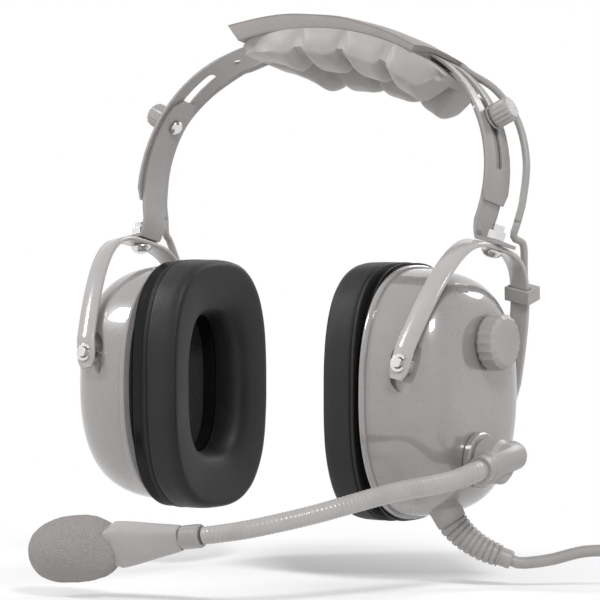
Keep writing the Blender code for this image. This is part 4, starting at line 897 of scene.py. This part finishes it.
def head_pad():
    """Stuffed cushions in two rows, drawn in along their seams."""
    start = PAD_FROM + PAD_SET_IN
    shares = [0.0]
    for a, b in zip(PAD_SEAMS, PAD_SEAMS[1:]):
        shares += [a + (b - a) * k / PAD_POINTS for k in range(1, PAD_POINTS + 1)]
    rings = []
    for share in shares:
        point = band_point(start + (PAD_TO - start) * share)
        half = PAD_WIDTH / 2 * (1.0 - PAD_NARROW * abs(2 * share - 1) ** PAD_NARROW_POWER)
        along = swell_along(share)
        ring = [beside_band(point, half * (2 * j / PAD_ROWS - 1), SLEEVE_LOW) for j in range(PAD_ROWS + 1)]
        lower = []
        for j in range(PAD_ROWS, -1, -1):
            y = half * (2 * j / PAD_ROWS - 1)
            swell = along * swell_across(j / PAD_ROWS)
            spot = beside_band(point, y, 0.0)
            pinch = (1.0 - swell) * swell * 4
            uneven = crease(spot, *PAD_CREASE) * swell + crease(spot, *PAD_WRINKLE) * pinch
            row_height = PAD_FRONT + (PAD_REAR - PAD_FRONT) * j / PAD_ROWS
            height = (PAD_BUMP + PAD_BUMP_MORE * share) * swell * row_height
            lower.append((y, SLEEVE_LOW - PAD_BASE - height + uneven))
        for side, (y, w) in ((1, lower[0]), (-1, lower[-1])):
            wall = []
            for k in range(1, PAD_SIDE_ROWS):
                drop = k / PAD_SIDE_ROWS
                bulge = (WALL_SWELL * along - WALL_DRAWN) * math.sin(math.pi * drop)
                wall.append(beside_band(point, y + side * bulge, SLEEVE_LOW + (w - SLEEVE_LOW) * drop))
            if side > 0:
                ring += wall
                ring += [beside_band(point, *spot) for spot in lower]
            else:
                ring += reversed(wall)
        rings.append(ring)
    item = add_piece("head_cushions", closed_mesh("head_cushions", rings), "head_pad", sharp=70.0)


SLEEVE_STEPS = 80
SLEEVE_LINE_STEPS = 6
SLEEVE_CREASE = (0.25 * MM, 70.0)


def sleeve_start(out):
    """Where the slanted right end of the cover is, at a distance off the band."""
    return PAD_FROM + SLEEVE_SLANT * max(0.0, SLEEVE_RISE - SLEEVE_SLOPE * PAD_FROM - out)


def sleeve_x(share, out):
    """Distance from the band's middle at a share of the cover's length."""
    start = sleeve_start(out)
    return start + (SLEEVE_TO - start) * share


def sleeve_line(share):
    """The cover's outer line, from its lower edge to its middle: across the band and off it."""
    half = PAD_WIDTH / 2
    edge = SLEEVE_RISE - SLEEVE_SLOPE * (PAD_FROM + (SLEEVE_TO - PAD_FROM) * share)
    stations = ((half * 0.98, SLEEVE_LOW), (half, SLEEVE_LOW + SLEEVE_WALL / 2), (half, edge - SLEEVE_WALL),
                (half * 0.97, edge), (half * 0.6, edge + SLEEVE_CROWN * 0.7), (0.0, edge + SLEEVE_CROWN))
    return spread(stations, SLEEVE_LINE_STEPS)


def pad_sleeve():
    """Cover over the band, with a turned edge along each side."""
    gap = BAND_THICK / 2 + FIT
    hole = BAND_WIDTH / 2 + FIT
    rings, linings = [], []
    for i in range(SLEEVE_STEPS + 1):
        share = i / SLEEVE_STEPS
        line = sleeve_line(share)
        outer = line + [(-y, w) for y, w in reversed(line[:-1])]
        ring = []
        for y, w in outer:
            x = sleeve_x(share, w)
            uneven = crease(Vector((x, y, w)), *SLEEVE_CREASE) if w > gap else 0.0
            ring.append(beside_band(band_point(x), y, w + uneven))
        rings.append(ring)
        last = len(outer) - 1
        inner = [(hole * (1 - 2 * k / last), gap) for k in range(1, last)]
        inner = [(hole, -gap)] + inner + [(-hole, -gap)]
        linings.append([beside_band(band_point(sleeve_x(share, w)), y, w) for y, w in inner])
    rings += reversed(linings)
    item = add_piece("band_cover", closed_mesh("band_cover", rings, loop=True), "pad_sleeve", sharp=50.0)
    # Its finish is the pad's leather made darker: painted shade against the light from above
    item.data.materials[0] = FINISH["cover"]


STIRRUP_BELOW = 6.5 * MM     # the pins
STIRRUP_STEPS = 36
# Half the strip's section, as shares of its width and thickness, and share of its width at its ends
STRIP_SECTION = ((0.44, -0.5), (0.5, -0.22), (0.5, 0.22), (0.44, 0.5))
STRIP_ENDS = (0.6, 0.93)


def arch_points(steps):
    """A stirrup's middle line in its YZ plane: up the front, over the top and down the rear."""
    foot, half = STIRRUP_BELOW, STIRRUP_HALF
    front = [(-half, -foot), (-half, -foot / 2), (-half, 0.0), (-half, foot)]
    for k in range(1, steps + 1):
        reach = math.cos(k / steps * math.pi / 2)
        front.append((-half * reach, foot + (STIRRUP_RISE - foot) * (1 - reach ** ARCH_POWER)))
    return front + [(-y, z) for y, z in reversed(front[:-1])]


def stirrup_place(side):
    """World matrix of a stirrup's own frame, at the middle of its cup's pivots."""
    turn = Matrix.Rotation(side * STIRRUP_LEAN, 4, "Y")
    return LEAN @ Matrix.Translation((side * PIVOT_X, 0, PIVOT_Z)) @ turn


def stirrup(side, name):
    """Painted steel strip over the cup, with rolled edges and rounded feet."""
    place = stirrup_place(side)
    line = arch_points(STIRRUP_STEPS)
    section = STRIP_SECTION + tuple((-x, w) for x, w in reversed(STRIP_SECTION))
    rings = []
    for i, (y, z) in enumerate(line):
        before, after = line[max(i - 1, 0)], line[min(i + 1, len(line) - 1)]
        along = Vector((after[0] - before[0], after[1] - before[1])).normalized()
        from_end = min(i, len(line) - 1 - i)
        width = STIRRUP_WIDTH * (STRIP_ENDS[from_end] if from_end < len(STRIP_ENDS) else 1.0)
        rings.append([place @ Vector((x * width, y - along.y * w * STIRRUP_THICK,
                                      z + along.x * w * STIRRUP_THICK)) for x, w in section])
    mesh = closed_mesh(f"{name}_stirrup_strip", rings)
    item = add_piece(f"{name}_stirrup_strip", mesh, f"{name}_stirrup", sharp=50.0)
    # Its finish is the arms' paint made lighter: painted light on the strip's lit, glossy faces
    item.data.materials[0] = FINISH["stirrup"]


# Lead down the side: degrees above the side arc's horizontal, millimetres behind the band's middle and off it
LEAD_STATIONS = ((62.0, 13.2, 1.4), (44.0, 13.6, 3.0), (28.0, 14.0, 5.0), (12.0, 14.6, 5.0),
                 (-3.0, 15.0, 4.0), (-12.0, 15.5, 3.5))
# From the band's end to the clip, in the stirrup's own frame and in millimetres
LOOP_STATIONS = ((0.0, 21.0, 61.5), (0.0, 27.0, 51.8))
LEAD_START_Y = 13.0 * MM
LEAD_START_OUT = 0.5 * MM
LEAD_ROOM = 0.1        # radians between the straight start and the first station that is used
LEAD_STEP = 1.5 * MM
LEAD_SIDES = 14
# Clip on the stirrup: the steps of its solid's arch, points from that line's end, and half the clip's height
CLIP_ARCH_STEPS = 10
CLIP_FROM_END = 9
CLIP_HALF = 3.0 * MM


def on_side(side, angle, y, out):
    """World place beside the band's side arc, by its angle from the side's horizontal."""
    c, s = side * math.cos(angle), math.sin(angle)
    point = (side * SIDE_CENTRE[0] + SIDE_RADIUS * c, SIDE_CENTRE[1] + SIDE_RADIUS * s, c, s)
    return beside_band(point, y, out)


def crossover(side, name):
    """Earphone lead from the cover down the side, and its loop to the clip on the stirrup."""
    cover_end = SLEEVE_TO if side > 0 else sleeve_start(LEAD_START_OUT + LEAD_DIAMETER / 2)
    _, _, nx, nz = band_point(cover_end)
    begin = math.atan2(nz, side * nx) - 2 * FIT / (SIDE_RADIUS if side > 0 else BAND_TOP_RADIUS)
    straight = begin - 2 * LEAD_DIAMETER / SIDE_RADIUS
    start = [beside_band(band_angle_point(side, a), LEAD_START_Y, LEAD_START_OUT) for a in (begin, straight)]
    route = start + [on_side(side, math.radians(a), y * MM, out * MM)
                     for a, y, out in LEAD_STATIONS if math.radians(a) < straight - LEAD_ROOM]
    place = stirrup_place(side)
    onward = (route[-1] - route[-2]).normalized()
    loop = [route[-1], route[-1] + onward * 2 * LEAD_DIAMETER]
    loop += [place @ (Vector(p) * MM) for p in LOOP_STATIONS]
    loop.append(place @ loop_end())
    for word, points, bodies in (("lead", smooth_route(route, LEAD_STEP), ("headband", f"{name}_arm")),
                                 ("loop", smooth_route(loop, LEAD_STEP), (f"{name}_arm", f"{name}_fork"))):
        node = f"{name}_crossover_{word}"
        rings = pipe_rings(points, [LEAD_DIAMETER / 2] * len(points), LEAD_SIDES)
        mesh = closed_mesh(f"{node}_wire", rings)
        mesh.shade_smooth()
        item = add_object(f"{node}_wire", mesh)
        mesh.materials.append(FINISH["grey_rubber"])
        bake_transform(item)
        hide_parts(node)


def band_angle_point(side, angle):
    """Place and normal of the band's middle surface at an angle from the side's horizontal."""
    if angle > math.pi / 2 - BAND_TOP_SWEEP:
        x, z = BAND_TOP_RADIUS * math.cos(angle), BAND_TOP - BAND_TOP_RADIUS * (1 - math.sin(angle))
    else:
        x, z = SIDE_CENTRE[0] + SIDE_RADIUS * math.cos(angle), SIDE_CENTRE[1] + SIDE_RADIUS * math.sin(angle)
    return side * x, z, side * math.cos(angle), math.sin(angle)


def loop_end():
    """Where the lead goes into its clip, in the stirrup's frame."""
    line = arch_points(CLIP_ARCH_STEPS)
    index = len(line) - CLIP_FROM_END
    (y, z), before, after = line[index], line[index - 1], line[index + 1]
    along = Vector((after[0] - before[0], after[1] - before[1])).normalized()
    outward = Vector((0, -along.y, along.x))
    up = Vector((1, 0, 0)).cross(outward)
    off = STIRRUP_THICK / 2 + 2 * FIT + LEAD_DIAMETER / 2
    return Vector((0, y, z)) + outward * off + up * (CLIP_HALF + 2 * FIT)


# Gooseneck past its hub, in millimetres
BOOM_POINTS = ((99.0, -36.0, -34.0), (90.0, -64.0, -37.0), (75.0, -93.0, -43.6), (58.0, -108.5, -48.6),
               (46.0, -113.7, -50.9), (39.0, -115.0, -52.0))
BARREL_DIRECTION = Vector((0.0, -0.98, -0.16)).normalized()
MIC_DIRECTION = Vector((-1.0, -0.11, -0.14)).normalized()
# Hub's centre, past the cup's face, in front of its middle and below it, and the reach of the hub's barrel
HUB_CENTRE = Vector((CUP_GAP + CUP_DEPTH + 9.9 * MM, -4.0 * MM, CUP_Z - 26.3 * MM))
BARREL_REACH = 14.0 * MM
BOOM_STRAIGHT = 6.0 * MM
RIB_STEPS = 4
BOOM_SIDES = 24
FERRULE_LONG = 9.0 * MM
MIC_LOW = 4 * FIT + FERRULE_LONG
MIC_STEPS = 6
MIC_SIDES = 32
MIC_SQUARE = 0.5
MIC_FLAT = 0.4         # share of its thickness that the housing keeps where it is narrow
MUFF_LOW = MIC_LOW + MIC_LONG - MUFF_OVER
MUFF_ROWS = 60
MUFF_SIDES = 72
MUFF_POWERS = (2.6, 1 / 2.2)
MUFF_END = 0.16
MUFF_CREASES = ((0.45 * MM, 110.0), (0.22 * MM, 700.0))


def boom():
    """Ribbed gooseneck, microphone housing and its foam muff."""
    start = HUB_CENTRE + BARREL_DIRECTION * (BARREL_REACH + FIT)
    route = [start, start + BARREL_DIRECTION * BOOM_STRAIGHT] + [Vector(p) * MM for p in BOOM_POINTS]
    points = smooth_route(route, RIB_PITCH / RIB_STEPS)
    radii = []
    for k in range(len(points)):
        taper = BOOM_THICK + (BOOM_THIN - BOOM_THICK) * k / (len(points) - 1)
        radii.append(taper / 2 - RIB_DEPTH * (0.5 - 0.5 * math.cos(2 * math.pi * k / RIB_STEPS)))
    mesh = closed_mesh("boom_gooseneck", pipe_rings(points, radii, BOOM_SIDES))
    item = add_piece("boom_gooseneck", mesh, "boom_tube", sharp=60.0)
    item.data.materials[0] = FINISH["boom"]

    place = axis_frame(points[-1], MIC_DIRECTION)
    turned = place @ Matrix.Rotation(MIC_ROLL, 4, "Z")
    rings = []
    for share, wide in spread(MIC_STATIONS, MIC_STEPS):
        thick = MIC_FLAT + (1 - MIC_FLAT) * wide
        ring = []
        for c, s in round_the_clock(MIC_SIDES):
            ring.append(turned @ Vector((MIC_THICK / 2 * thick * math.copysign(abs(c) ** MIC_SQUARE, c),
                                         MIC_WIDE / 2 * wide * math.copysign(abs(s) ** MIC_SQUARE, s),
                                         MIC_LOW + MIC_LONG * share)))
        rings.append(ring)
    item = add_piece("mic_shell", closed_mesh("mic_shell", rings), "mic_housing", sharp=40.0)
    item.data.materials[0] = FINISH["boom"]

    rings = []
    for i in range(MUFF_ROWS + 1):
        along = math.sin((2 * i / MUFF_ROWS - 1) * math.pi / 2)
        size = max(MUFF_END, (1 - abs(along) ** MUFF_POWERS[0]) ** MUFF_POWERS[1])
        height = MUFF_LOW + MUFF_LONG * (along + 1) / 2
        axis = place @ Vector((0, 0, height))
        ring = []
        for c, s in round_the_clock(MUFF_SIDES):
            spot = place @ Vector((MUFF_DEEP / 2 * size * c, MUFF_HIGH / 2 * size * s, height))
            ring.append(spot + (spot - axis).normalized() * creases(spot, MUFF_CREASES))
        rings.append(ring)
    item = add_piece("mic_foam", closed_mesh("mic_foam", rings), "mic_muff", sharp=80.0)


BOOT_PLAIN = 5         # the first of this many parts of the boot has no ribs
BOOT_SIDES = 28
BOOT_SHARP = 50.0
RIB_FLAT = 0.35        # share of a rib's wave above which the boot keeps its full size
COLLAR_ROUND = 0.8 * MM


def cord_boot():
    """Ribbed rubber strain relief, which flares into the cup."""
    route = smooth_route([Vector(p) * MM for p in BOOT_POINTS], BOOT_STEP)
    plain = len(route) // BOOT_PLAIN
    collar = len(route) - 1 - round(BOOT_COLLAR / BOOT_STEP)
    radii = []
    for k in range(len(route)):
        radius = (BOOT_WIDE + (BOOT_NARROW - BOOT_WIDE) * min(1.0, k / collar)) / 2
        if plain < k < collar:
            wave = math.cos(2 * math.pi * BOOT_RIBS * (k - plain) / (collar - plain))
            radius -= BOOT_GROOVE * max(0.0, -RIB_FLAT - wave) / (1 - RIB_FLAT)
        if k >= collar:
            to_end = (len(route) - 1 - k) * BOOT_STEP
            radius = BOOT_END / 2 - max(0.0, COLLAR_ROUND - to_end) / 2
        radii.append(radius)
    mesh = closed_mesh("cord_relief", pipe_rings(route, radii, BOOT_SIDES))
    item = add_piece("cord_relief", mesh, "cord_boot", sharp=BOOT_SHARP)
    cut(item, closed_mesh("dome", dome_rings(1)))
    smooth_faces(item.data, BOOT_SHARP)


def headband():
    """Spring strip with a small round hole above each slot."""
    item = refine("headband_spring", 0.3 * MM)
    for side, _ in SIDES:
        x, z, nx, nz = band_angle_point(side, HOLE_AT)
        rings = []
        for out in (-2 * BAND_THICK, 2 * BAND_THICK):
            ring = []
            for c, s in round_the_clock(HOLE_SIDES):
                along, across = HOLE_DIAMETER / 2 * c, HOLE_DIAMETER / 2 * s
                ring.append(LEAN @ Vector((x + nx * out - nz * along, across, z + nz * out + nx * along)))
            rings.append(ring)
        cut(item, closed_mesh("hole", rings))


# Solids that are shown as they are: millimetres that their edges are rounded by, and what angle is an edge
SIDE_SOLIDS = (("slider_arm", 0.35, EDGE), ("adjust_screw", 0.15, EDGE), ("adjust_washer", 0.15, EDGE),
               ("swivel_bolt", 0.15, EDGE), ("swivel_nut", 0.15, EDGE), ("front_pin", 0.15, EDGE),
               ("rear_pin", 0.15, EDGE), ("front_clip", 0.15, EDGE), ("rear_clip", 0.15, EDGE),
               ("thumb_nut", 0.12, 30.0), ("volume_knob", 0.2, 25.0), ("cable_clip", 0.4, EDGE),
               ("baffle_foam", 0.0, EDGE), ("driver", 0.3, EDGE), ("volume_pot", 0.2, EDGE))
BOOM_SOLIDS = (("boom_base", 0.2, EDGE), ("boom_hub", 0.5, 30.0), ("boom_ferrule", 0.3, 25.0))


def make_small_parts():
    """The solids whose shape is right, with their edges rounded."""
    for _, name in SIDES:
        for word, width, sharp in SIDE_SOLIDS:
            refine(f"{name}_{word}", width * MM, sharp)
    for node, width, sharp in BOOM_SOLIDS:
        refine(node, width * MM, sharp)


def main():
    make_camera()
    make_stage()
    make_cords()
    headband()
    make_small_parts()
    for side, name in SIDES:
        ear_cup(side, name)
        seal(side, name)
        stirrup(side, name)
        crossover(side, name)
    pad_sleeve()
    head_pad()
    boom()
    cord_boot()


main()
